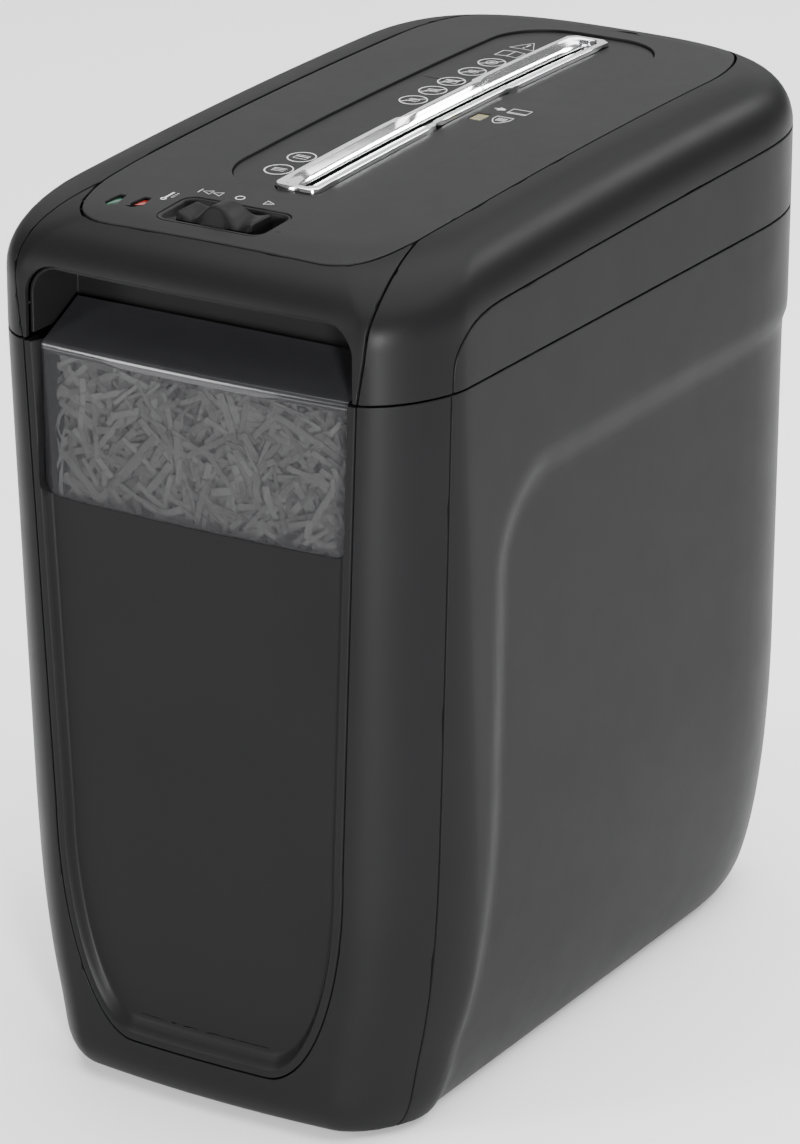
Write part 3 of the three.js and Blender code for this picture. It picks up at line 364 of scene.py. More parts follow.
def cut(piece, steps, keep=()):
    """Cuts a solid with tool solids in order, and throws away the tools that aren't kept."""
    for operation, tool in steps:
        modifier = piece.modifiers.new("cut", "BOOLEAN")
        modifier.operation = operation
        modifier.object = tool
        modifier.solver = "EXACT"
    settle(piece)
    for _, tool in steps:
        if tool not in keep:
            bpy.data.objects.remove(tool)
    if not piece.data.polygons:
        raise RuntimeError(f"{piece.name} was cut away altogether")
    return piece


def finish(piece, body, material, rounding=0.0, merge=0.0, sharp=35, stands_for=(), segments=2):
    """Cleans a piece, rounds its edges, moves it into the frame and gives it its body and finish."""
    bm = bmesh.new()
    bm.from_mesh(piece.data)
    bmesh.ops.translate(bm, verts=bm.verts, vec=(0, FRONT, 0))
    if merge:
        bmesh.ops.remove_doubles(bm, verts=bm.verts, dist=merge)
        bmesh.ops.dissolve_degenerate(bm, edges=bm.edges, dist=merge / 2)
    for face in bm.faces:
        face.smooth = True
    bm.to_mesh(piece.data)
    bm.free()
    piece.data.set_sharp_from_angle(angle=math.radians(sharp))
    if rounding:
        bevel = piece.modifiers.new("rounded_edges", "BEVEL")
        bevel.width = rounding
        bevel.segments = segments
        bevel.limit_method = "ANGLE"
        bevel.angle_limit = math.radians(sharp)
        bevel.use_clamp_overlap = False
        bevel.harden_normals = True
    if body:
        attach(piece, body)
    if stands_for:
        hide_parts(*stands_for)
    piece.data.materials.clear()
    piece.data.materials.append(material)
    return piece


# ---- shader maths ----
class Value:
    """A number that varies over a surface, so that shader maths reads as ordinary maths."""

    def __init__(self, tree, socket):
        self.tree = tree
        self.socket = socket

    def maths(self, operation, first, second=None, third=None):
        node = self.tree.nodes.new("ShaderNodeMath")
        node.operation = operation
        for slot, value in zip(node.inputs, (first, second, third)):
            if isinstance(value, Value):
                self.tree.links.new(value.socket, slot)
            elif value is not None:
                slot.default_value = value
        return Value(self.tree, node.outputs[0])

    def __add__(self, other):
        return self.maths("ADD", self, other)

    __radd__ = __add__

    def __mul__(self, other):
        return self.maths("MULTIPLY", self, other)

    __rmul__ = __mul__

    def __sub__(self, other):
        return self.maths("SUBTRACT", self, other)

    def __rsub__(self, other):
        return self.maths("SUBTRACT", other, self)

    def __truediv__(self, other):
        return self.maths("DIVIDE", self, other)

    def __gt__(self, other):
        return self.maths("GREATER_THAN", self, other)

    def power(self, exponent):
        return self.maths("POWER", self, exponent)


class Finish:
    """One procedural material round a Principled shader."""

    def __init__(self, name, base, roughness, metallic=0.0, **settings):
        self.material = bpy.data.materials.new(name)
        self.material.use_nodes = True
        self.tree = self.material.node_tree
        self.shader = self.tree.nodes["Principled BSDF"]
        self.shader.inputs["Base Color"].default_value = (*base, 1)
        self.shader.inputs["Roughness"].default_value = roughness
        self.shader.inputs["Metallic"].default_value = metallic
        for socket, value in settings.items():
            self.shader.inputs[socket.replace("_", " ")].default_value = value
        self.place = self.node("ShaderNodeTexCoord").outputs["Object"]

    def node(self, kind, settings=None, inputs=None):
        node = self.tree.nodes.new(kind)
        for name, value in (settings or {}).items():
            setattr(node, name, value)
        for name, value in (inputs or {}).items():
            self.feed(node.inputs[name], value)
        return node

    def feed(self, socket, value):
        if isinstance(value, Value):
            self.tree.links.new(value.socket, socket)
        elif isinstance(value, bpy.types.NodeSocket):
            self.tree.links.new(value, socket)
        else:
            socket.default_value = value

    def stretched(self, scale):
        return self.node("ShaderNodeMapping", None, {"Vector": self.place, "Scale": scale}).outputs[0]

    def noise(self, scale, detail=2.0, roughness=0.5, where=None):
        node = self.node("ShaderNodeTexNoise", None, {
            "Vector": where or self.place, "Scale": scale, "Detail": detail, "Roughness": roughness})
        return Value(self.tree, node.outputs["Fac"])

    def cells(self, scale, where=None):
        node = self.node("ShaderNodeTexVoronoi", None, {"Vector": where or self.place, "Scale": scale})
        return Value(self.tree, node.outputs["Distance"])

    def blend(self, factor, first, second):
        node = self.node("ShaderNodeMix", {"data_type": "RGBA"})
        self.feed(node.inputs["Factor"], factor)
        self.feed(node.inputs[6], (*first, 1))
        self.feed(node.inputs[7], (*second, 1))
        return node.outputs[2]

    def give(self, socket, value):
        self.feed(self.shader.inputs[socket], value)

    def relief(self, height, strength, distance):
        bump = self.node("ShaderNodeBump", None, {
            "Height": height, "Strength": strength, "Distance": distance})
        self.give("Normal", bump.outputs["Normal"])


def shade(base, factor):
    return tuple(min(channel * factor, 1.0) for channel in base)


def moulded(name, base, roughness, grain, texture=0.12, **settings):
    """Injection-moulded plastic: spark-eroded grain, faint cloudiness and handling marks."""
    finish_ = Finish(name, base, roughness, **settings)
    fine = finish_.noise(grain, 3, 0.6)
    cloud = finish_.noise(14, 3, 0.55)
    rubbed = finish_.noise(55, 5, 0.7)
    mark = (rubbed - 0.56) * 3.0
    finish_.give("Base Color", finish_.blend(cloud * 0.7 + fine * 0.3, shade(base, 0.82), shade(base, 1.22)))
    finish_.give("Roughness", fine * 0.1 + cloud * 0.08 + mark * 0.03 + (roughness - 0.1))
    finish_.relief(fine + finish_.cells(grain * 0.8) * 0.5, texture, 0.05 * MM)
    return finish_.material


def casing_black():
    return moulded("satin_black_casing", colours().casing, 0.43, 2600, 0.10, IOR=1.15)


def panel_charcoal():
    return moulded("charcoal_top_panel", colours().panel, 0.5, 1900, 0.22, IOR=1.2)


def inner_moulding():
    return moulded("inner_moulding", shade(colours().casing, 1.6), 0.5, 1500, 0.12, IOR=1.25)


def soft_rubber():
    return moulded("foot_rubber", shade(colours().casing, 1.2), 0.85, 1100, 0.3)


def smoked_clear():
    finish_ = Finish("smoked_clear", colours().window, 0.13, IOR=1.25, Alpha=0.58)
    haze = finish_.noise(30, 4, 0.6)
    scuff = finish_.noise(900, 3, 0.6, finish_.stretched((1, 1, 0.06)))
    finish_.give("Roughness", haze * 0.06 + scuff * 0.05 + 0.05)
    finish_.give("Base Color", finish_.blend(haze, shade(colours().window, 0.8), shade(colours().window, 1.3)))
    finish_.relief(haze, 0.03, 0.2 * MM)
    return finish_.material


def polished_trim():
    finish_ = Finish("polished_trim", colours().trim, 0.1, 1.0)
    drawn = finish_.noise(2200, 3, 0.6, finish_.stretched((1, 0.015, 1)))
    smear = finish_.noise(45, 4, 0.6)
    finish_.give("Roughness", drawn * 0.07 + smear * 0.09 + 0.03)
    finish_.give("Base Color", finish_.blend(smear, shade(colours().trim, 0.88), colours().trim))
    finish_.relief(drawn, 0.05, 0.03 * MM)
    return finish_.material


def ground_steel():
    """Turned and ground steel with a thin film of oil."""
    finish_ = Finish("ground_steel", colours().steel, 0.32, 1.0)
    lathe = finish_.noise(1800, 3, 0.6, finish_.stretched((0.1, 1, 0.1)))
    oil = finish_.noise(60, 4, 0.6)
    finish_.give("Roughness", lathe * 0.18 + oil * 0.2 + 0.14)
    finish_.give("Base Color", finish_.blend(oil, shade(colours().steel, 0.62), shade(colours().steel, 1.1)))
    finish_.relief(lathe, 0.2, 0.05 * MM)
    return finish_.material


def plated_steel():
    """Zinc-plated sheet with a faint spangle."""
    finish_ = Finish("plated_steel", shade(colours().steel, 1.15), 0.38, 1.0)
    spangle = finish_.cells(220)
    cloud = finish_.noise(35, 3, 0.6)
    finish_.give("Roughness", spangle * 0.22 + cloud * 0.12 + 0.24)
    finish_.give("Base Color", finish_.blend(
        spangle, shade(colours().steel, 0.95), shade(colours().steel, 1.35)))
    finish_.relief(spangle, 0.08, 0.05 * MM)
    return finish_.material


def sintered_bronze():
    finish_ = Finish("sintered_bronze", colours().bronze, 0.45, 1.0)
    pores = finish_.cells(2600)
    stain = finish_.noise(180, 4, 0.6)
    finish_.give("Base Color", finish_.blend(stain, shade(colours().bronze, 0.6), shade(colours().bronze, 1.2)))
    finish_.give("Roughness", stain * 0.2 + pores * 0.2 + 0.26)
    finish_.relief(pores, 0.3, 0.05 * MM)
    return finish_.material


def greased_nylon():
    finish_ = Finish("greased_nylon", colours().nylon, 0.42, Subsurface_Weight=0.08)
    grease = finish_.noise(120, 4, 0.6)
    film = (grease > 0.56) * grease
    finish_.give("Base Color", finish_.blend(film, colours().nylon, shade(colours().nylon, 0.55)))
    finish_.give("Roughness", 0.5 - film * 0.35)
    finish_.relief(grease, 0.12, 0.2 * MM)
    return finish_.material


def circuit_lacquer():
    finish_ = Finish("circuit_lacquer", colours().board, 0.3)
    tracks = finish_.cells(260)
    weave = finish_.noise(900, 2, 0.5)
    finish_.give("Base Color", finish_.blend(
        (tracks > 0.62) * 0.8 + weave * 0.2, shade(colours().board, 0.8), (0.05, 0.2, 0.09)))
    finish_.give("Roughness", weave * 0.15 + 0.22)
    finish_.relief(tracks, 0.2, 0.05 * MM)
    return finish_.material


def tinted_lens(name, base):
    finish_ = Finish(name, base, 0.2, IOR=1.49, Coat_Weight=0.3)
    depth = finish_.noise(320, 3, 0.5)
    facets = finish_.cells(700)
    finish_.give("Base Color", finish_.blend(depth, shade(base, 0.35), shade(base, 1.15)))
    finish_.give("Roughness", facets * 0.12 + 0.14)
    finish_.relief(facets, 0.25, 0.1 * MM)
    return finish_.material


def cut_paper():
    """Office paper: fibres, specks of grey print, and a tone for each strip that is partly random and partly
    painted shade, darker for strips further back from the window.
    """
    finish_ = Finish("cut_paper", colours().paper, 0.85)
    fibres = finish_.noise(2400, 3, 0.7)
    ink = finish_.noise(700, 2, 0.5)
    strip_tone_and_shade = Value(finish_.tree, finish_.node("ShaderNodeAttribute", {"attribute_name": "strip_tone_and_shade"}).outputs["Fac"])
    # The strip colour mixes a random tone with painted shade that darkens strips lying further back from the
    # window.
    finish_.give("Base Color", finish_.blend(
        strip_tone_and_shade * 0.8 + (ink > 0.62) * 0.15 + fibres * 0.1, shade(colours().paper, 1.15), shade(colours().paper, 0.2)))
    finish_.give("Roughness", fibres * 0.1 + 0.8)
    finish_.relief(fibres, 0.3, 0.05 * MM)
    return finish_.material


def painted_shade_heap_paper():
    """The shaded depth of the heap, where only the odd edge catches light."""
    # Painted shade: the heap's paper is painted near-black, standing in for the shade inside the bin.
    base = shade(colours().paper, 0.08)
    finish_ = Finish("painted_shade_heap_paper", base, 0.9)
    edges = finish_.noise(260, 4, 0.7)
    # Painted highlight: a few paper edges are painted lighter, as if catching light.
    finish_.give("Base Color", finish_.blend((edges > 0.55) * edges, base, shade(base, 4)))
    finish_.give("Roughness", edges * 0.1 + 0.85)
    finish_.relief(edges, 0.6, 1 * MM)
    return finish_.material


def printed_ink():
    finish_ = Finish("printed_ink", colours().print_ink, 0.6)
    worn = finish_.noise(1500, 4, 0.7)
    finish_.give("Base Color", finish_.blend(
        worn, shade(colours().print_ink, 1.15), shade(colours().print_ink, 0.6)))
    finish_.give("Roughness", worn * 0.2 + 0.5)
    return finish_.material


def studio_floor():
    finish_ = Finish("studio_floor", colours().floor, 0.6)
    cloud = finish_.noise(1.5, 2, 0.5)
    finish_.give("Base Color", finish_.blend(cloud, colours().floor, shade(colours().floor, 1.03)))
    finish_.give("Roughness", cloud * 0.05 + 0.55)
    return finish_.material


MATERIALS = {}


def material(maker):
    """Each finish is made once and shared."""
    if maker.__name__ not in MATERIALS:
        MATERIALS[maker.__name__] = maker()
    return MATERIALS[maker.__name__]


# ---- shared solids ----
SHARED = {}


def shared(maker, *values):
    key = (maker.__name__, *values)
    if key not in SHARED:
        SHARED[key] = maker(*values)
        SHARED[key].name = "shared_form"
    return SHARED[key]


def clear_shared():
    for tool in SHARED.values():
        bpy.data.objects.remove(tool)
    SHARED.clear()


def cabinet_form(inset, top):
    """The cabinet's outer form, with the side recess, pulled in by inset and closed at both ends."""
    low = sizes().floor_gap + inset
    rises = [0, 0.4, 1.2, 2.5, 4.2, 6.5, 9.5, 13, 18, 23, 28.5, 34.5]
    heights = [low + rise * MM for rise in rises]
    count = round((top - heights[-1]) / (5.2 * MM))
    start = heights[-1]
    heights += [start + (top - start) * i / count for i in range(1, count + 1)]
    rows = []
    for z in heights:
        ring = whole(pressed(outline(z, inset, 0, 56), z))
        rows.append([(x, y, z) for x, y in ring])
    closing = (0.6, 0.2, 0)
    under = [[(x * share, y, z) for x, y, z in rows[0]] for share in closing]
    over = [[(x * share, y, z) for x, y, z in rows[-1]] for share in closing]
    return solid("cabinet_form", under[::-1] + rows + over)


def head_form(inset, bottom):
    """The head's form from a level up over its rounded edge to the crowned top."""
    radius = EDGE_RADIUS - inset
    seam = sizes().seam
    base = whole(outline(seam, inset))
    levels = [bottom + (seam + 22 * MM - bottom) * i / 4 for i in range(5)]
    rows = [[(x, y, z) for x, y in base] for z in levels]
    steps = 14
    for step in range(steps + 1):
        turn = math.pi / 2 * step / steps
        pulled = radius * (1 - max(math.cos(turn), 0) ** EDGE_POWER)
        drop = inset + radius * (1 - math.sin(turn) ** EDGE_POWER)
        ring = whole(outline(seam, inset, pulled))
        rows.append([(x, y, top_height(y) - drop) for x, y in ring])
    edge = whole(outline(seam, inset, radius))
    for share in (0.97, 0.9, 0.75, 0.6, 0.45, 0.3, 0.15, 0):
        rows.append([(x * share, y, top_height(y) - inset) for x, y in edge])
    under = [[(x * share, y, bottom) for x, y in base] for share in (0, 0.2, 0.6)]
    return solid("head_form", under + rows)


def cabinet_wall():
    wall = cabinet_form(0, sizes().seam - sizes().seam_gap / 2)
    return cut(wall, [("DIFFERENCE", cabinet_form(sizes().wall, sizes().seam + 20 * MM))])


def head_wall():
    wall = head_form(0, sizes().seam + sizes().seam_gap / 2)
    return cut(wall, [("DIFFERENCE", head_form(sizes().wall, sizes().seam - 20 * MM))])


def arc(cx, cz, rx, rz, start, end, steps=14):
    turns = [math.radians(start + (end - start) * i / steps) for i in range(steps + 1)]
    return [(cx + rx * math.cos(turn), cz + rz * math.sin(turn)) for turn in turns]


def bezier(a, b, c, d, steps=12):
    points = []
    for i in range(steps + 1):
        t = i / steps
        u = 1 - t
        weights = (u ** 3, 3 * u * u * t, 3 * u * t * t, t ** 3)
        points.append(tuple(sum(w * p[k] for w, p in zip(weights, (a, b, c, d))) for k in (0, 1)))
    return points


def mirrored(points):
    """Closes an outline whose points run up the right-hand side, by repeating them on the left."""
    left = [(-x, y) for x, y in reversed(points)]
    return points + [p for p in left if abs(p[0]) > 1e-7]


def rounded(x0, x1, y0, y1, radius, steps=12):
    return (arc(x1 - radius, y0 + radius, radius, radius, -90, 0, steps)
            + arc(x1 - radius, y1 - radius, radius, radius, 0, 90, steps)
            + arc(x0 + radius, y1 - radius, radius, radius, 90, 180, steps)
            + arc(x0 + radius, y0 + radius, radius, radius, 180, 270, steps))


def mouth_outline(inset, top, steps=28):
    low = CHIN + inset
    narrow = mouth_half() - MOUTH_TAPER - inset
    flat = mouth_half() - MOUTH_TAPER - MOUTH_ARC_WIDTH
    wide = narrow + MOUTH_TAPER * (top - MOUTH_ARC_TOP) / (sizes().seam - MOUTH_ARC_TOP)
    right = arc(flat, MOUTH_ARC_TOP, narrow - flat, MOUTH_ARC_TOP - low, -90, 0, steps) + [(wide, top)]
    return mirrored(right)


def top_panel_outline(grow):
    half = mouth_half() - 3 * MM + grow
    front = 18 * MM - grow
    back = sizes().depth - 13 * MM + grow
    corner = [(half - 27 * MM, front), (half - 8 * MM, front), (half - 4 * MM, front + 14 * MM),
              (half - 1 * MM, front + 36 * MM)]
    rear = [(half, back - 62 * MM), (half - 1 * MM, back - 28 * MM), (half - 15 * MM, back),
            (half - 47 * MM, back)]
    return mirrored(bezier(*corner) + [(half, front + 62 * MM)] + bezier(*rear))


def fascia_zone(grow):
    """The fascia's block: an upright outline met by a plan outline, both rounding over the top."""
    half = mouth_half() + grow
    seam = sizes().seam
    flare = bezier((half, seam), (half + 2.2 * MM, seam + 14 * MM), (half + 4 * MM, seam + 24 * MM),
                   (half + 4 * MM, seam + 38 * MM))
    upright = mirrored([(half, 0.3)] + flare + [(half + 4 * MM, 0.45)])
    sweep_back = bezier((half + 4 * MM, 2 * MM), (half + 4.5 * MM, 16 * MM), (half - 0.5 * MM, 30 * MM),
                        (half - 5 * MM, 58 * MM + grow))
    plan = mirrored([(half + 5 * MM, -20 * MM)] + sweep_back)
    zone = prism(upright, "y", -20 * MM, 70 * MM)
    return cut(zone, [("INTERSECT", prism(plan, "z", 0.29, 0.46))])


def band_zone(grow):
    """The block below the groove that runs round the head's sides and back."""
    front = SIDE_SEAM_Y + 0.5 * MM - grow
    line = sizes().seam + 29.5 * MM + grow
    rear = sizes().depth + 40 * MM
    low = sizes().seam - 20 * MM
    bend = bezier((front + 33 * MM, line), (front + 12 * MM, line - 1 * MM), (front, line - 8 * MM),
                  (front, line - 23 * MM))
    rise = bezier((rear, line + 7 * MM), (front + 200 * MM, line + 5 * MM), (front + 90 * MM, line + 2 * MM),
                  (front + 34 * MM, line + 0.1 * MM))
    return prism([(front, low), (rear, low)] + rise + bend, "x", -FAR / 2, FAR / 2)


def panel_zone(grow):
    return prism(top_panel_outline(grow), "z", 0.33, 0.45)


def pocket_outline(grow):
    return rounded(POCKET_LOW.x - grow, POCKET_HIGH.x + grow, POCKET_LOW.y - grow, POCKET_HIGH.y + grow,
                   6 * MM + grow, 8)


def plate_outline(grow):
    return rounded(PLATE_LOW.x - grow, PLATE_HIGH.x + grow, PLATE_LOW.y - grow, PLATE_HIGH.y + grow,
                   28 * MM + grow, 16)


def kite(x, y, width, depth):
    return [(x - width / 2, y + depth * 0.25), (x, y), (x + width / 2, y + depth * 0.25),
            (x + width * 0.25, y + depth), (x - width * 0.25, y + depth)]


LAMPS = {"power_light": (-58.5 * MM, 31 * MM), "overheat_light": (-47.5 * MM, 33 * MM)}
LAMP_WIDTH = 6 * MM
LAMP_DEPTH = 12 * MM


# ---- pieces: cabinet and head ----
class SHREDDER_OT_cabinet(bpy.types.Operator):
    """Cabinet shell and the front columns, split at the side seam"""
    bl_idname = "shredder.cabinet"
    bl_label = "Cabinet"

    def execute(self, context):
        wall = shared(cabinet_wall)
        rear = cut(copy_of(wall, "cabinet_casing"), [
            ("INTERSECT", slab(-FAR, FAR, SIDE_SEAM_Y, FAR, -0.01, FAR))])
        finish(rear, "cabinet", material(casing_black), sizes().edge, CLEAN,
               stands_for=["cabinet_shell"])
        mouth = prism(mouth_outline(0, sizes().seam + 30 * MM), "y", -30 * MM, 60 * MM)
        columns = cut(copy_of(wall, "front_columns"), [
            ("INTERSECT", slab(-FAR, FAR, -FAR, SIDE_SEAM_Y - sizes().seam_gap, -0.01, FAR)),
            ("DIFFERENCE", mouth)])
        finish(columns, "cabinet", material(casing_black), sizes().edge, CLEAN,
               stands_for=["front_bezel"])
        return {"FINISHED"}


class SHREDDER_OT_head(bpy.types.Operator):
    """Top cover, side band, front fascia and top panel of the cutting head"""
    bl_idname = "shredder.head"
    bl_label = "Head casings"

    def execute(self, context):
        wall = shared(head_wall)
        gap = sizes().seam_gap / 2
        inlet = slab(-45.5 * MM, -34.5 * MM, sizes().depth - BACK_ROUNDING, FAR,
                     sizes().seam + 8.5 * MM, sizes().seam + 19.5 * MM)
        band = cut(copy_of(wall, "side_band"), [("INTERSECT", band_zone(-gap)), ("DIFFERENCE", inlet)])
        finish(band, "cabinet", material(casing_black), sizes().edge, CLEAN,
               stands_for=["head_housing"])
        cover = cut(copy_of(wall, "shoulder_cover"), [
            ("DIFFERENCE", fascia_zone(gap)), ("DIFFERENCE", panel_zone(gap)),
            ("DIFFERENCE", band_zone(gap))])
        finish(cover, "cabinet", material(casing_black), sizes().edge, CLEAN,
               stands_for=["top_cover"])
        grip = rounded(2 * MM - mouth_half(), mouth_half() - 2 * MM, 0.2, GRIP_TOP, 14 * MM)
        fascia = cut(copy_of(wall, "fascia"), [
            ("INTERSECT", fascia_zone(-gap)), ("DIFFERENCE", panel_zone(gap)),
            ("DIFFERENCE", prism(grip, "y", -30 * MM, GRIP_DEPTH + 4 * MM))])
        finish(fascia, "cabinet", material(casing_black), sizes().edge, CLEAN,
               stands_for=["front_fascia"], segments=3)
        holes = [("DIFFERENCE", prism(plate_outline(0.3 * MM), "z", 0.35, 0.45)),
                 ("DIFFERENCE", prism(pocket_outline(0.3 * MM), "z", 0.35, 0.45))]
        for x, y in LAMPS.values():
            holes.append(("DIFFERENCE", prism(kite(x, y, LAMP_WIDTH, LAMP_DEPTH), "z", 0.35, 0.45)))
        panel = cut(copy_of(wall, "control_panel"), [("INTERSECT", panel_zone(-gap)), *holes])
        finish(panel, "cabinet", material(panel_charcoal), sizes().edge, CLEAN,
               stands_for=["top_panel"])
        return {"FINISHED"}


class SHREDDER_OT_grip(bpy.types.Operator):
    """The finger recess behind the fascia"""
    bl_idname = "shredder.grip"
    bl_label = "Grip recess"

    def execute(self, context):
        half = mouth_half() - 2.3 * MM
        top = GRIP_TOP - 0.3 * MM
        outer = rounded(-half, half, 0.2, top, 13.7 * MM)
        wall = 1.7 * MM
        inner = rounded(wall - half, half - wall, 0.2, top - wall, 12 * MM)
        recess = prism(outer, "y", 0, GRIP_DEPTH + 2 * MM)
        recess.name = "finger_recess"
        cut(recess, [
            ("DIFFERENCE", prism(inner, "y", -0.03, GRIP_DEPTH)),
            ("INTERSECT", slab(-FAR, FAR, -0.03, FAR, sizes().seam + 2 * MM, FAR)),
            ("INTERSECT", head_form(sizes().wall + 0.3 * MM, sizes().seam - 20 * MM))])
        finish(recess, "cabinet", material(casing_black), 0.6 * MM, 0.2 * MM,
               stands_for=["grip_recess"])
        return {"FINISHED"}


# ---- pieces: paper entry ----
def trim_loop(grow, dz, slot=False):
    """One loop of the entry trim: a long frame with two steps in its width, or the slot inside it."""
    front = TRIM_LOW.y - grow
    back = TRIM_HIGH.y + grow
    chamfer = 3 * MM
    wide = TRIM_HIGH.x + grow
    narrow = wide - 1.3 * MM
    first_step = front + 94 * MM
    second_step = front + 155 * MM
    if slot:
        front = TRIM_LOW.y + 6 * MM - grow
        back = TRIM_HIGH.y - 3 * MM + grow
        wide = narrow = 2.5 * MM + grow
        chamfer = 1.2 * MM
    side = [(wide - chamfer, front), (wide, front + chamfer)]
    for at, before, after in ((first_step, wide, narrow), (second_step, narrow, wide)):
        side += [(before, at - 8 * MM), (before, at), (after, at + 2.2 * MM), (after, at + 10 * MM)]
    lead = [(wide, front + chamfer + (first_step - front - chamfer) * i / 6) for i in range(1, 5)]
    tail = [(wide, second_step + 12 * MM + (back - second_step - 20 * MM) * i / 6) for i in range(1, 6)]
    side = side[:2] + lead + side[2:] + tail + [(wide, back - chamfer), (wide - chamfer, back)]
    ring = side + [(-x, y) for x, y in reversed(side)]
    return [(x, y, top_height(y) + dz) for x, y in ring]


class SHREDDER_OT_entry(bpy.types.Operator):
    """Plate round the paper slot and its polished trim"""
    bl_idname = "shredder.entry"
    bl_label = "Paper entry"

    def execute(self, context):
        self.plate()
        self.trim()
        return {"FINISHED"}

    def plate(self):
        sunk = 1.2 * MM
        plate = prism(plate_outline(0), "z", 0.35, 0.45)
        plate.name = "entry_plate"
        low = local_box("sensor_light")[0]
        high = local_box("sensor_light")[1]
        gap = 0.3 * MM
        layer = self.layer(sunk, sunk + sizes().wall)
        trim_hole = [(x, y) for x, y, _ in trim_loop(gap, 0)]
        cut(plate, [("INTERSECT", layer), ("DIFFERENCE", prism(trim_hole, "z", 0.34, 0.46)),
                    ("DIFFERENCE", slab(low.x - gap, high.x + gap, low.y - gap, high.y + gap, 0.34, 0.46))])
        finish(plate, "cabinet", material(panel_charcoal), 0.35 * MM, 0.1 * MM,
               stands_for=["sensor_plate"])

    def layer(self, upper, lower):
        """A block between two levels that follow the crowned top."""
        steps = 48
        ys = [50 * MM + (300 * MM) * i / steps for i in range(steps + 1)]
        profile = [(y, top_height(y) - upper) for y in ys] + [(y, top_height(y) - lower) for y in reversed(ys)]
        return prism(profile, "x", -60 * MM, 60 * MM)

    def trim(self):
        proud = 1 * MM
        rows = [trim_loop(0, -3.6 * MM), trim_loop(0, proud - 0.6 * MM), trim_loop(-0.15 * MM, proud - 0.2 * MM),
                trim_loop(-0.5 * MM, proud - 0.02 * MM), trim_loop(-0.9 * MM, proud),
                trim_loop(-2.6 * MM, proud), trim_loop(-2.9 * MM, proud - 0.1 * MM),
                trim_loop(-3.3 * MM, proud - 0.7 * MM)]
        rows += [trim_loop(1.6 * MM, -0.6 * MM, True), trim_loop(0.6 * MM, -2.0 * MM, True),
                 trim_loop(0.1 * MM, -2.7 * MM, True), trim_loop(0, -3.1 * MM, True),
                 trim_loop(0, -3.6 * MM, True)]
        trim = solid("slot_trim", rows, closed=True)
        finish(trim, "cabinet", material(polished_trim), sharp=50, stands_for=["entry_trim"])


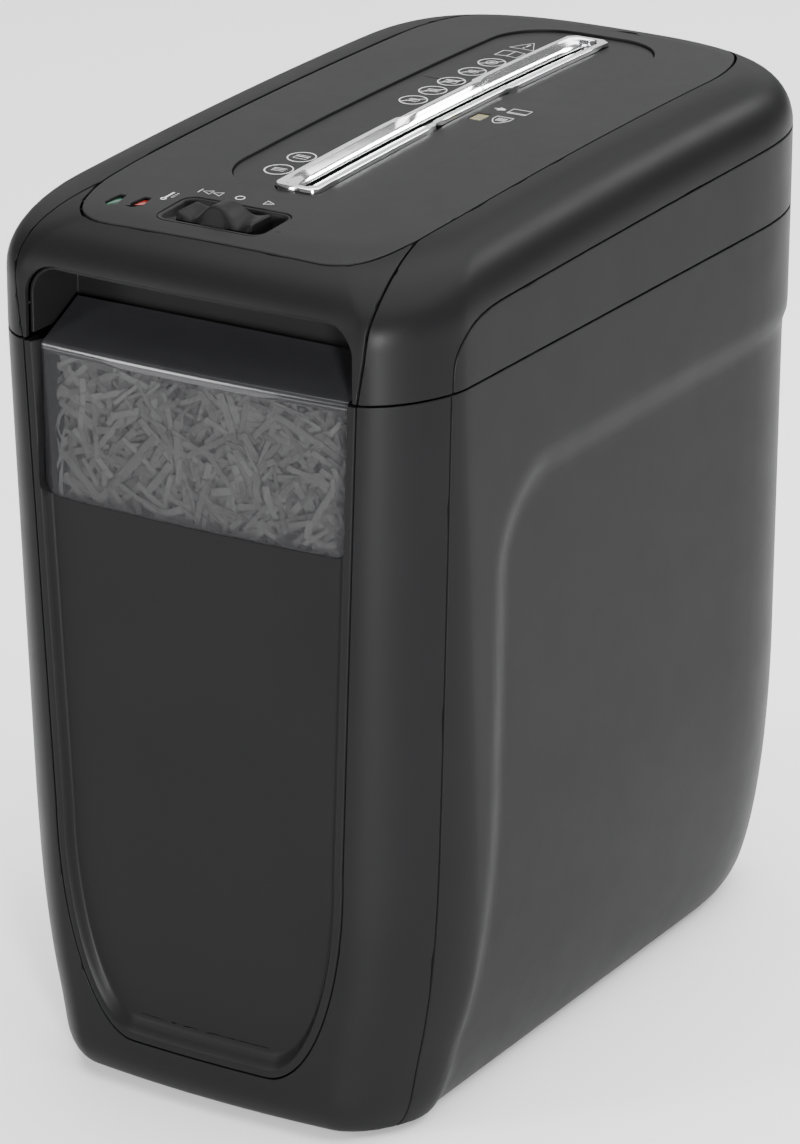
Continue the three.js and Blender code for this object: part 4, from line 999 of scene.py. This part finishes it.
# ---- pieces: controls ----
class SHREDDER_OT_controls(bpy.types.Operator):
    """Mode knob, the dished pocket it slides in, and the lamps"""
    bl_idname = "shredder.controls"
    bl_label = "Controls"

    def execute(self, context):
        self.pocket()
        self.knob()
        self.lamps()
        return {"FINISHED"}

    def pocket(self):
        depth = 7 * MM

        def loop(grow, share):
            ring = pocket_outline(grow)
            return [(x, y, top_height(y) - 0.4 * MM - depth * share
                     * (0.12 + 0.88 * smooth(POCKET_LOW.y, POCKET_LOW.y + 15 * MM, y)))
                    for x, y in ring]
        rows = [loop(0, 0.4), loop(0, 0.03), loop(-0.2 * MM, 0.0), loop(-0.7 * MM, 0.0),
                loop(-1.1 * MM, 0.06), loop(-1.5 * MM, 0.2), loop(-2.0 * MM, 0.75),
                loop(-2.6 * MM, 0.93), loop(-4.0 * MM, 1.0), loop(-5.8 * MM, 1.0)]
        bm = bmesh.new()
        edges = sweep(bm, rows)
        bmesh.ops.contextual_create(bm, geom=edges)
        tidy(bm)
        pocket = to_object(bm, "knob_pocket")
        solidify = pocket.modifiers.new("wall", "SOLIDIFY")
        solidify.thickness = 1.2 * MM
        solidify.offset = -1
        settle(pocket)
        finish(pocket, "cabinet", material(panel_charcoal), sharp=60,
               stands_for=["switch_base"])

    def knob(self):
        """A finger bar: raised middle, a scoop on each side of it, and sloping flanks."""
        centre = (KNOB_LOW + KNOB_HIGH) / 2
        half = (KNOB_HIGH.x - KNOB_LOW.x) / 2
        depth = (KNOB_HIGH.y - KNOB_LOW.y) / 2
        low = KNOB_LOW.z
        height = KNOB_HIGH.z - KNOB_LOW.z + 2.4 * MM
        rows = []
        steps = 44
        for i in range(steps + 1):
            share = -1 + 2 * i / steps
            x = centre.x + half * share
            hump = math.exp(-abs(share / 0.33) ** 3)
            scoop = math.exp(-((abs(share) - 0.62) / 0.28) ** 2)
            crown = height * (0.68 + 0.32 * hump - 0.12 * scoop * (1 - hump))
            end = 0.55 * MM if i in (0, steps) else 0
            waist = depth * (1 - 0.16 * hump) - end
            top = low + crown - end
            slope = 2.0 * MM * scoop
            ring = []
            for y, z in ((-depth + end, low), (-depth + end, low + 0.34 * height),
                         (-waist + 0.2 * MM, low + 0.5 * crown), (-waist + 1.0 * MM, top - slope - 1.0 * MM),
                         (-waist + 1.5 * MM, top - slope - 0.4 * MM), (-waist + 2.3 * MM, top - slope),
                         (-waist * 0.5, top - slope * 0.75), (0, top - slope * 0.45),
                         (waist * 0.5, top - slope * 0.15), (waist - 2.3 * MM, top),
                         (waist - 1.5 * MM, top - 0.3 * MM), (waist - 1.0 * MM, top - 0.9 * MM),
                         (waist - 0.2 * MM, low + 0.5 * crown), (depth - end, low + 0.34 * height),
                         (depth - end, low)):
                ring.append((x, centre.y + y, z))
            rows.append(ring)
        middle = [sum((Vector(p) for p in ring), Vector()) / len(ring) for ring in (rows[0], rows[-1])]
        first = [tuple(middle[0])] * len(rows[0])
        last = [tuple(middle[1])] * len(rows[0])
        knob = solid("mode_slider", [first] + rows + [last])
        finish(knob, "mode_knob", material(casing_black), sharp=48, stands_for=["mode_knob"])

    def lamps(self):
        greens = {"power_light": ("green_lens", (0.003, 0.055, 0.025)),
                  "overheat_light": ("red_lens", (0.25, 0.015, 0.008))}
        for name, (x, y) in LAMPS.items():
            slot, base = greens[name]
            width = LAMP_WIDTH - 0.6 * MM
            long = LAMP_DEPTH - 0.6 * MM
            ridge = y + 0.3 * MM + long * 0.3
            bm = bmesh.new()
            outline_ = kite(x, y + 0.3 * MM, width, long)
            rows = [[(px, py, top_height(py) - 2.4 * MM) for px, py in outline_],
                    [(px, py, top_height(py) - 1.5 * MM) for px, py in outline_],
                    [(x + (px - x) * 0.8, ridge + (py - ridge) * 0.8, top_height(py) - 1.2 * MM)
                     for px, py in outline_],
                    [(x, ridge, top_height(ridge) - 0.85 * MM)] * len(outline_)]
            sweep(bm, rows)
            bmesh.ops.holes_fill(bm, edges=bm.edges, sides=len(outline_))
            tidy(bm)
            lens = to_object(bm, name.replace("light", "lens"))
            finish(lens, "cabinet", tinted_lens(name + "_tint", base), sharp=20, stands_for=[name])


# ---- pieces: bin ----
WINDOW_LOW, WINDOW_HIGH = 262 * MM, 327 * MM
WINDOW_HALF_TRIM = 6.5 * MM


def window_outline(grow, top=WINDOW_HIGH):
    half = mouth_half() - WINDOW_HALF_TRIM + grow
    low = WINDOW_LOW - grow
    corner = arc(half - 7 * MM, low + 7 * MM, 7 * MM, 7 * MM, -90, 0, 8)
    return mirrored(corner + [(half, top + grow)])


class SHREDDER_OT_bin(bpy.types.Operator):
    """Bin tub, its recessed front panel, and the smoked window with its pull ledge"""
    bl_idname = "shredder.bin"
    bl_label = "Bin"

    def execute(self, context):
        self.front()
        self.window()
        self.tub()
        return {"FINISHED"}

    def front_rows(self):
        """Loops round the mouth from the back of the rim, over it and down its slope to the panel."""
        recess = sizes().panel_recess
        clear = 0.6 * MM
        rim = sizes().rim
        profile = [
            (clear, clear, recess + 3 * MM), (clear, clear, 0.7 * MM), (clear + 0.15 * MM, clear + 0.15 * MM, 0.25 * MM),
            (clear + 0.5 * MM, clear + 0.5 * MM, 0.03 * MM), (clear + 1 * MM, clear + 1 * MM, 0),
            (rim - 0.3 * MM, rim - 0.3 * MM, 0), (rim + 0.3 * MM, rim + 0.4 * MM, 0.12 * MM),
            (rim + 0.7 * MM, rim + 1.1 * MM, 0.5 * MM), (rim + 1.6 * MM, rim + 3 * MM, recess * 0.45),
            (rim + 2.6 * MM, rim + 5.4 * MM, recess * 0.82), (rim + 3.1 * MM, rim + 6.6 * MM, recess * 0.96),
            (rim + 3.8 * MM, rim + 8 * MM, recess)]
        top = sizes().seam - 0.8 * MM
        rows = []
        for side, low, depth in profile:
            rows.append([(x, front_surface(x, z, depth), z) for x, z in self.mouth(side, low, top)])
        return rows

    def mouth(self, side, low, top):
        """The mouth's outline, set in by different amounts at its sides and its foot."""
        narrow = mouth_half() - MOUTH_TAPER - side
        flat = mouth_half() - MOUTH_TAPER - MOUTH_ARC_WIDTH
        foot = CHIN + low
        right = [(flat * i / 6, foot) for i in range(6)]
        right += arc(flat, MOUTH_ARC_TOP, narrow - flat, MOUTH_ARC_TOP - foot, -90, 0, 26)
        for i in range(1, 25):
            z = MOUTH_ARC_TOP + (top - MOUTH_ARC_TOP) * i / 24
            right.append((narrow + MOUTH_TAPER - taper_at(z), z))
        return [(-x, z) for x, z in reversed(right[1:])] + right

    def front(self):
        rows = self.front_rows()
        recess = sizes().panel_recess
        bm = bmesh.new()
        sweep(bm, rows, around=False)
        inner = rows[-1]
        count = (len(inner) - 1) // 2
        columns = 24
        lines = []
        for i in range(columns + 1):
            share = -1 + 2 * i / columns
            line = []
            for k in range(7, count + 1):
                x, _, z = inner[count + k]
                line.append((x * share, front_surface(x * share, z, recess), z))
            lines.append(line)
        sweep(bm, lines, around=False)
        foot_half = inner[count + 6][0]
        foot_z = inner[count][2]
        low_line = []
        for line, share in zip(lines, [-1 + 2 * i / columns for i in range(columns + 1)]):
            low_line.append((foot_half * share, front_surface(foot_half * share, foot_z, recess), foot_z))
        sweep(bm, [[line[0] for line in lines], low_line], around=False)
        tidy(bm, 0.05 * MM)
        front = to_object(bm, "bin_panel")
        solidify = front.modifiers.new("wall", "SOLIDIFY")
        solidify.thickness = 2.2 * MM
        solidify.offset = 1 if self.faces_back(front) else -1
        settle(front)
        opening = prism(window_outline(0.3 * MM, sizes().seam + 20 * MM), "y", -30 * MM, 60 * MM)
        cut(front, [("DIFFERENCE", opening)])
        finish(front, "bin", material(casing_black), 0.35 * MM, 0.12 * MM, sharp=50,
               stands_for=["bin_front"])

    def faces_back(self, piece):
        """Whether the sheet's faces point to the back, so that its wall grows the other way."""
        return sum(p.normal.y * p.area for p in piece.data.polygons) > 0

    def window(self):
        half = mouth_half() - WINDOW_HALF_TRIM
        recess = sizes().panel_recess
        pane = prism(window_outline(0), "y", recess - 3 * MM, recess + 12 * MM)
        pane.name = "smoked_window"
        cut(pane, [("INTERSECT", self.pane_layer(recess - 0.9 * MM, recess + 1.7 * MM))])
        finish(pane, "bin", material(smoked_clear), 0.6 * MM, 0.1 * MM, sharp=40,
               stands_for=["bin_window"], segments=3)
        roll = []
        ledge_back = GRIP_DEPTH - 5 * MM
        top = WINDOW_HIGH
        line = [(recess - 0.5 * MM, top - 3 * MM), (recess - 0.9 * MM, top - 1.2 * MM), (recess - 0.5 * MM, top + 0.6 * MM),
                (recess + 1 * MM, top + 1.7 * MM), (recess + 3.4 * MM, top + 2.6 * MM)]
        line += [(recess + 3.4 * MM + (ledge_back - recess - 3.4 * MM) * i / 8,
                  top + 2.6 * MM + 10.4 * MM * i / 8) for i in range(1, 9)]
        line += [(ledge_back + 1.2 * MM, top + 13.6 * MM), (ledge_back + 2.2 * MM, top + 12.8 * MM)]
        for y, z in line:
            roll.append([(half * (-1 + i / 15), y + self.bulge(half * (-1 + i / 15)) * (1 - smooth(recess, ledge_back, y)), z)
                         for i in range(31)])
        bm = bmesh.new()
        sweep(bm, roll, around=False)
        tidy(bm)
        ledge = to_object(bm, "pull_ledge")
        solidify = ledge.modifiers.new("wall", "SOLIDIFY")
        solidify.thickness = 1.8 * MM
        solidify.offset = -1 if self.faces_front(ledge) else 1
        settle(ledge)
        finish(ledge, "bin", material(smoked_ledge), 0.3 * MM, sharp=60)

    def faces_front(self, piece):
        return sum(p.normal.y * p.area for p in piece.data.polygons) < 0

    def bulge(self, x):
        return -FRONT_BULGE * (1 - (x / mouth_half()) ** 2)

    def pane_layer(self, near, far):
        """A block between two depths behind the front's curve."""
        rows = []
        for z in (WINDOW_LOW - 10 * MM, WINDOW_HIGH + 2 * MM):
            xs = [0.09 * (-1 + i / 24) for i in range(49)]
            curve = [(x, front_surface(min(max(x, -mouth_half()), mouth_half()), z, near), z) for x in xs]
            curve += [(x, front_surface(min(max(x, -mouth_half()), mouth_half()), z, far), z)
                      for x in reversed(xs)]
            rows.append(curve)
        bm = bmesh.new()
        sweep(bm, rows)
        bmesh.ops.holes_fill(bm, edges=bm.edges, sides=len(rows[0]))
        tidy(bm)
        return to_object(bm, "tool")

    def tub(self):
        inset = sizes().panel_recess + 3.3 * MM
        clear = 2.4 * MM
        wall = 2 * MM
        back = TUB_HIGH.y
        top = sizes().seam + 5 * MM
        tub = prism(mouth_outline(clear, top), "y", -30 * MM, back)
        tub.name = "bin_body"
        inner = prism(mouth_outline(clear + wall, top + 20 * MM), "y", -60 * MM, back - wall)
        cut(inner, [("INTERSECT", cabinet_form(inset + wall, sizes().seam + 40 * MM))])
        window_half = mouth_half() - 7.5 * MM
        cut(tub, [
            ("INTERSECT", cabinet_form(inset, top)), ("DIFFERENCE", inner),
            ("DIFFERENCE", slab(-FAR, FAR, GRIP_DEPTH - 2 * MM, FAR, 296 * MM, FAR)),
            ("DIFFERENCE", slab(-FAR, FAR, -20 * MM, FAR, WINDOW_HIGH - 8 * MM, FAR)),
            ("DIFFERENCE", slab(-window_half, window_half, -20 * MM, inset + 10 * MM, WINDOW_LOW - 3 * MM, FAR))])
        finish(tub, "bin", material(inner_moulding), 0.5 * MM, 0.2 * MM,
               stands_for=["bin_tub"])


def smoked_ledge():
    """The same smoked moulding where it rolls back into the pull, denser because it is seen edge on."""
    finish_ = Finish("smoked_ledge", colours().window, 0.2, Specular_IOR_Level=0.5)
    haze = finish_.noise(30, 4, 0.6)
    finish_.give("Roughness", haze * 0.12 + 0.14)
    finish_.give("Base Color", finish_.blend(haze, shade(colours().window, 0.9), shade(colours().window, 1.6)))
    finish_.relief(haze, 0.04, 0.2 * MM)
    return finish_.material


class SHREDDER_OT_paper(bpy.types.Operator):
    """Cross-cut paper lying in the bin, heaped against the window"""
    bl_idname = "shredder.paper"
    bl_label = "Shredded paper"

    def execute(self, context):
        draw = random.Random(7)
        self.heap(draw)
        self.strips(draw)
        return {"FINISHED"}

    def heap(self, draw):
        """The body of the heap, with a lumpy top."""
        half = mouth_half() - 22 * MM
        front, back = 22 * MM, TUB_HIGH.y - 8 * MM
        low, top = CHIN + 8 * MM, 276 * MM
        bm = bmesh.new()
        bmesh.ops.create_grid(bm, x_segments=26, y_segments=60, size=0.5)
        phases = [draw.uniform(0, 6.28) for _ in range(6)]
        for vert in bm.verts:
            x = vert.co.x * 2 * half
            y = front + (vert.co.y + 0.5) * (back - front)
            ripple = (math.sin(x * 140 + phases[0]) * math.cos(y * 120 + phases[1])
                      + 0.6 * math.sin(x * 310 + y * 180 + phases[2])
                      + 0.5 * math.cos(y * 420 + phases[3]) + 0.4 * math.sin((x - y) * 530 + phases[4]))
            vert.co = Vector((x, y, top + 3.2 * MM * ripple))
        border = [e for e in bm.edges if e.is_boundary]
        skirt = bmesh.ops.extrude_edge_only(bm, edges=border)["geom"]
        for vert in [g for g in skirt if isinstance(g, bmesh.types.BMVert)]:
            vert.co.z = low + 60 * MM
        lower = [g for g in skirt if isinstance(g, bmesh.types.BMEdge) and g.is_boundary]
        foot = bmesh.ops.extrude_edge_only(bm, edges=lower)["geom"]
        for vert in [g for g in foot if isinstance(g, bmesh.types.BMVert)]:
            vert.co.x *= 0.55
            vert.co.z = low
        bmesh.ops.holes_fill(bm, edges=bm.edges, sides=400)
        tidy(bm)
        heap = to_object(bm, "paper_heap")
        # The heap wears the painted-shade paper finish, near-black with painted edge highlights.
        finish(heap, "bin", material(painted_shade_heap_paper), sharp=70)

    def strips(self, draw):
        """Curled strips over the top of the heap and standing against the window."""
        bm = bmesh.new()
        strip_tone_and_shade = bm.verts.layers.float.new("strip_tone_and_shade")
        half = mouth_half() - 7 * MM
        count = sizes().strips
        for index in range(count):
            x = draw.uniform(-half, half)
            if index < count * 0.55:
                y = draw.uniform(13, 24) * MM
                z = draw.uniform(258, 320) * MM
                tilt = draw.gauss(0, 0.18)
                lean = draw.choice((-0.9, -0.5, 0.3, 0.8, 1.4)) + draw.gauss(0, 0.25)
            else:
                y = draw.uniform(24 * MM, TUB_HIGH.y - 26 * MM)
                z = draw.uniform(277, 287) * MM
                tilt = draw.gauss(math.pi / 2, 0.35)
                lean = draw.uniform(-3.14, 3.14)
            turn = (Matrix.Rotation(draw.gauss(0, 0.2), 4, "Z") @ Matrix.Rotation(tilt, 4, "X")
                    @ Matrix.Rotation(lean, 4, "Y"))
            # Each strip's tone is half random and half painted shade: strips further back from the window are
            # painted darker.
            depth = (y - 13 * MM) / (11 * MM)
            self.shade = draw.random() * 0.5 + 0.5 * min(max(depth, 0), 1)
            self.strip(bm, strip_tone_and_shade, draw.uniform(16, 34) * MM, draw.uniform(1.6, 3.2) * MM, draw.uniform(-9, 9),
                       draw.uniform(-0.5, 0.5), Matrix.Translation((x, y, z)) @ turn)
        side = mouth_half() - 7.5 * MM
        for vert in bm.verts:
            top = 321 * MM if vert.co.y < GRIP_DEPTH - 4 * MM else 294 * MM
            vert.co.x = min(max(vert.co.x, -side), side)
            vert.co.y = min(max(vert.co.y, 10.6 * MM), TUB_HIGH.y - 6 * MM)
            vert.co.z = min(vert.co.z, top)
        strips = to_object(bm, "paper_strips")
        solidify = strips.modifiers.new("thickness", "SOLIDIFY")
        solidify.thickness = 0.12 * MM
        settle(strips)
        finish(strips, "bin", material(cut_paper), sharp=60)

    def strip(self, bm, strip_tone_and_shade, long, wide, curl, twist, where):
        """One strip: a narrow sheet in short lengths, bent and twisted along itself."""
        made = bmesh.ops.create_grid(bm, x_segments=5, y_segments=1, size=0.5)["verts"]
        for vert in made:
            along, across = vert.co.x * long, vert.co.y * wide
            bend = curl * along * along
            spun = twist * along / long
            vert.co = where @ Vector((along, across * math.sin(spun) + bend, across * math.cos(spun)))
            vert[strip_tone_and_shade] = self.shade


# ---- pieces: printed symbols ----
class SHREDDER_OT_symbols(bpy.types.Operator):
    """Generic printed symbols beside the slot, the knob and the lamps"""
    bl_idname = "shredder.symbols"
    bl_label = "Printed symbols"

    def execute(self, context):
        plate = 1.2 * MM
        self.bm = bmesh.new()
        self.sunk = 0
        self.knob_symbols()
        self.thermometer()
        self.sunk = plate
        for index, y in enumerate((99.5, 117, 205, 221, 236.5, 254, 270.5)):
            self.round_symbol(-20 * MM, y * MM, index)
        self.book(-20 * MM, 286 * MM)
        self.warning(-20 * MM, 301 * MM)
        self.sensor_symbols()
        tidy(self.bm, 0.001 * MM)
        printed = to_object(self.bm, "printed_symbols")
        solidify = printed.modifiers.new("ink", "SOLIDIFY")
        solidify.thickness = 0.08 * MM
        solidify.offset = 1
        settle(printed)
        finish(printed, "cabinet", material(printed_ink), sharp=60)
        return {"FINISHED"}

    def lay(self, points):
        return [(x, y, top_height(y) - self.sunk + 0.03 * MM) for x, y in points]

    def ribbon(self, points, width, closed=False):
        """A flat line of even width along a few points."""
        sides = ([], [])
        count = len(points)
        for i, (x, y) in enumerate(points):
            before = points[i - 1] if closed or i else points[i]
            after = points[(i + 1) % count] if closed or i < count - 1 else points[i]
            along = Vector((after[0] - before[0], after[1] - before[1])).normalized()
            for row, side in zip(sides, (width / 2, -width / 2)):
                row.append((x - along.y * side, y + along.x * side))
        sweep(self.bm, [self.lay(row) for row in sides], around=closed)

    def ring(self, x, y, radius, width):
        turns = [2 * math.pi * i / 28 for i in range(28)]
        self.ribbon([(x + radius * math.cos(t), y + radius * math.sin(t)) for t in turns], width, True)

    def filled(self, points):
        verts = [self.bm.verts.new(p) for p in self.lay(points)]
        bmesh.ops.contextual_create(self.bm, geom=verts)

    def knob_symbols(self):
        line = 0.45 * MM
        y = 60.5 * MM
        size = 2.0 * MM
        for x, way in ((-24.4 * MM, -1), (-29.2 * MM, -1), (1 * MM, 1)):
            self.ribbon([(x - way * size, y - size), (x + way * size, y), (x - way * size, y + size)],
                        line, True)
        self.ribbon([(-32.6 * MM, y - size), (-32.6 * MM, y + size)], line)
        self.ring(-13.4 * MM, y, 1.9 * MM, line)

    def thermometer(self):
        x, y = -41 * MM, 46 * MM
        self.ring(x, y, 1.0 * MM, 0.7 * MM)
        self.ribbon([(x, y + 1 * MM), (x, y + 8 * MM)], 0.9 * MM)
        for i in range(4):
            self.ribbon([(x + 1.6 * MM, y + (3 + i * 1.5) * MM), (x + 2.8 * MM, y + (3 + i * 1.5) * MM)], 0.3 * MM)

    def round_symbol(self, x, y, kind):
        """A circle round a small drawing: sheets, a card, a clip, a strip or a disc, some struck out."""
        line = 0.38 * MM
        self.ring(x, y, 6 * MM, 0.55 * MM)
        unit = 1 * MM
        if kind in (0, 3):
            for i in (-1.4, 0, 1.4):
                self.ribbon([(x - 3 * unit, y + i * unit), (x + 3 * unit, y + (i + 0.5) * unit)], line)
        elif kind in (1, 4):
            self.ribbon([(x - 3 * unit, y - 2 * unit), (x + 3 * unit, y - 2 * unit), (x + 3 * unit, y + 2 * unit),
                         (x - 3 * unit, y + 2 * unit)], line, True)
            self.ribbon([(x - 3 * unit, y + 0.7 * unit), (x + 3 * unit, y + 0.7 * unit)], 0.6 * MM)
        elif kind in (2, 5):
            self.ribbon([(x - 2.6 * unit, y - 1.6 * unit), (x + 2.2 * unit, y - 1.6 * unit),
                         (x + 2.8 * unit, y), (x + 2.2 * unit, y + 1.6 * unit),
                         (x - 2 * unit, y + 1.6 * unit), (x - 2.4 * unit, y + 0.4 * unit),
                         (x + 1.4 * unit, y + 0.4 * unit)], line)
        else:
            self.ring(x, y, 2.6 * MM, line)
            self.ring(x, y, 0.9 * MM, line)
        if kind > 1:
            self.ribbon([(x - 4.1 * unit, y - 4.1 * unit), (x + 4.1 * unit, y + 4.1 * unit)], 0.5 * MM)

    def book(self, x, y):
        line = 0.4 * MM
        unit = 1 * MM
        self.ribbon([(x - 5.5 * unit, y - 4 * unit), (x, y - 3 * unit), (x + 5.5 * unit, y - 4 * unit),
                     (x + 5.5 * unit, y + 4 * unit), (x, y + 5 * unit), (x - 5.5 * unit, y + 4 * unit)], line, True)
        self.ribbon([(x, y - 3 * unit), (x, y + 5 * unit)], line)

    def warning(self, x, y):
        unit = 1 * MM
        self.ribbon([(x - 6 * unit, y - 5 * unit), (x + 6 * unit, y - 5 * unit), (x, y + 6 * unit)], 0.5 * MM, True)
        self.ribbon([(x, y - 0.8 * unit), (x, y + 3 * unit)], 0.8 * MM)
        self.ring(x, y - 3 * unit, 0.3 * MM, 0.5 * MM)

    def sensor_symbols(self):
        unit = 1 * MM
        x, y = 24 * MM, 212 * MM
        self.ribbon([(x, y - 3 * unit), (x + 9 * unit, y - 3 * unit), (x + 9 * unit, y + 3 * unit),
                     (x, y + 3 * unit)], 0.45 * MM, True)
        self.ribbon([(x, y - 1.8 * unit), (x + 9 * unit, y - 1.8 * unit)], 0.5 * MM)
        self.filled([(x - 8 * unit, y), (x - 5.6 * unit, y - 2 * unit), (x - 5.6 * unit, y - 0.7 * unit),
                     (x - 2.5 * unit, y - 0.7 * unit), (x - 2.5 * unit, y + 0.7 * unit),
                     (x - 5.6 * unit, y + 0.7 * unit), (x - 5.6 * unit, y + 2 * unit)])
        x, y = 27 * MM, 199 * MM
        self.ribbon([(x - 4 * unit, y + 4 * unit), (x - 4 * unit, y), (x - 2 * unit, y - 3.6 * unit),
                     (x, y - 5 * unit), (x + 2 * unit, y - 3.6 * unit), (x + 4 * unit, y),
                     (x + 4 * unit, y + 4 * unit)], 0.45 * MM, True)
        for i in (-1.8, -0.6, 0.6, 1.8):
            self.ribbon([(x + i * unit, y - 1.5 * unit), (x + i * unit, y + 2.4 * unit)], 0.55 * MM)


# ---- finishes of the working parts ----
FINISHES = {
    "casing": casing_black,
    "panel": panel_charcoal,
    "smoked_window": smoked_clear,
    "chrome_trim": polished_trim,
    "inner_plastic": inner_moulding,
    "cutter_steel": ground_steel,
    "sheet_steel": plated_steel,
    "bronze": sintered_bronze,
    "nylon": greased_nylon,
    "rubber": soft_rubber,
    "circuit_board": circuit_lacquer,
}


class SHREDDER_OT_finishes(bpy.types.Operator):
    """Gives the frame's working parts their finishes"""
    bl_idname = "shredder.finishes"
    bl_label = "Working parts"

    def execute(self, context):
        lenses = {"green_lens": (0.006, 0.11, 0.05), "red_lens": (0.42, 0.03, 0.015),
                  "yellow_lens": (0.14, 0.12, 0.015)}
        for part in frame["record"]["subparts"]:
            piece = frame["nodes"][part["node"]]
            slot = part["material_slot"]
            if slot in lenses:
                chosen = tinted_lens(slot, lenses[slot])
            else:
                chosen = material(FINISHES[slot])
            piece.data.materials.clear()
            piece.data.materials.append(chosen)
        return {"FINISHED"}


# ---- stage ----
class SHREDDER_OT_stage(bpy.types.Operator):
    """Pale floor, soft studio light and the camera"""
    bl_idname = "shredder.stage"
    bl_label = "Stage"

    def execute(self, context):
        self.camera()
        self.floor()
        self.lights()
        return {"FINISHED"}

    def camera(self):
        turn, rise = math.radians(31.706), math.radians(21.128)
        back = Vector((math.sin(turn) * math.cos(rise), -math.cos(turn) * math.cos(rise), math.sin(rise)))
        lens = bpy.data.cameras.new("camera")
        lens.lens = 166.72
        lens.sensor_width = 36
        lens.clip_end = 50
        camera = bpy.data.objects.new("camera", lens)
        camera.location = (1.12091, FRONT - 1.65261, 1.01495)
        camera.rotation_euler = back.to_track_quat("Z", "Y").to_euler()
        bpy.context.scene.collection.objects.link(camera)
        bpy.context.scene.camera = camera

    def floor(self):
        bm = bmesh.new()
        bmesh.ops.create_grid(bm, x_segments=4, y_segments=4, size=12)
        floor = to_object(bm, "studio_floor")
        floor.data.materials.append(material(studio_floor))

    def lights(self):
        world = bpy.data.worlds.new("studio")
        world.use_nodes = True
        background = world.node_tree.nodes["Background"]
        background.inputs["Color"].default_value = (1, 1, 1, 1)
        background.inputs["Strength"].default_value = 0.22
        bpy.context.scene.world = world
        self.panel_light("overhead", (0.2, 0.4, 3.0), (0.0, 0.2, 0), 4, 4, 290)
        self.panel_light("back_card", (-1.5, 2.4, 1.45), (0, 0, 0.38), 3.4, 1.6, 18)
        self.panel_light("shoulder_card", (0.94, 2.05, 1.65), (0.08, 0, 0.35), 0.8, 0.5, 30)
        self.panel_light("right_strip", (1.5, -1.75, 0.4), (0.08, -0.15, 0.2), 0.22, 0.7, 140)
        self.panel_light("front_left", (-1.3, -1.9, 0.9), (0, -0.1, 0.25), 0.5, 1.0, 38)

    def panel_light(self, name, place, target, width, height, power):
        lamp = bpy.data.lights.new(name, "AREA")
        lamp.shape = "RECTANGLE"
        lamp.size = width
        lamp.size_y = height
        lamp.energy = power
        light = bpy.data.objects.new(name, lamp)
        light.location = place
        aim = Vector(place) - Vector(target)
        light.rotation_euler = aim.to_track_quat("Z", "Y").to_euler()
        bpy.context.scene.collection.objects.link(light)


# ---- panel and registration ----
OPERATORS = (
    SHREDDER_OT_stage, SHREDDER_OT_finishes, SHREDDER_OT_cabinet, SHREDDER_OT_head, SHREDDER_OT_grip,
    SHREDDER_OT_entry, SHREDDER_OT_controls, SHREDDER_OT_bin, SHREDDER_OT_paper, SHREDDER_OT_symbols,
)


class SHREDDER_PT_panel(bpy.types.Panel):
    """Lists the sizes, colours and building steps"""
    bl_idname = "SHREDDER_PT_panel"
    bl_label = "Paper shredder"
    bl_space_type = "VIEW_3D"
    bl_region_type = "UI"
    bl_category = "Shredder"

    def draw(self, context):
        for group in (sizes(), colours()):
            box = self.layout.box()
            for name in group.__annotations__:
                box.prop(group, name)
        for operator in OPERATORS:
            self.layout.operator(operator.bl_idname)


CLASSES = (ShredderSizes, ShredderColours, *OPERATORS, SHREDDER_PT_panel)


def register():
    for cls in CLASSES:
        bpy.utils.register_class(cls)
    bpy.types.Scene.shredder_sizes = bpy.props.PointerProperty(type=ShredderSizes)
    bpy.types.Scene.shredder_colours = bpy.props.PointerProperty(type=ShredderColours)


def unregister():
    del bpy.types.Scene.shredder_sizes
    del bpy.types.Scene.shredder_colours
    for cls in reversed(CLASSES):
        bpy.utils.unregister_class(cls)


def main():
    register()
    for operator in OPERATORS:
        group, name = operator.bl_idname.split(".")
        getattr(getattr(bpy.ops, group), name)()
    clear_shared()


if __name__ == "__main__":
    main()
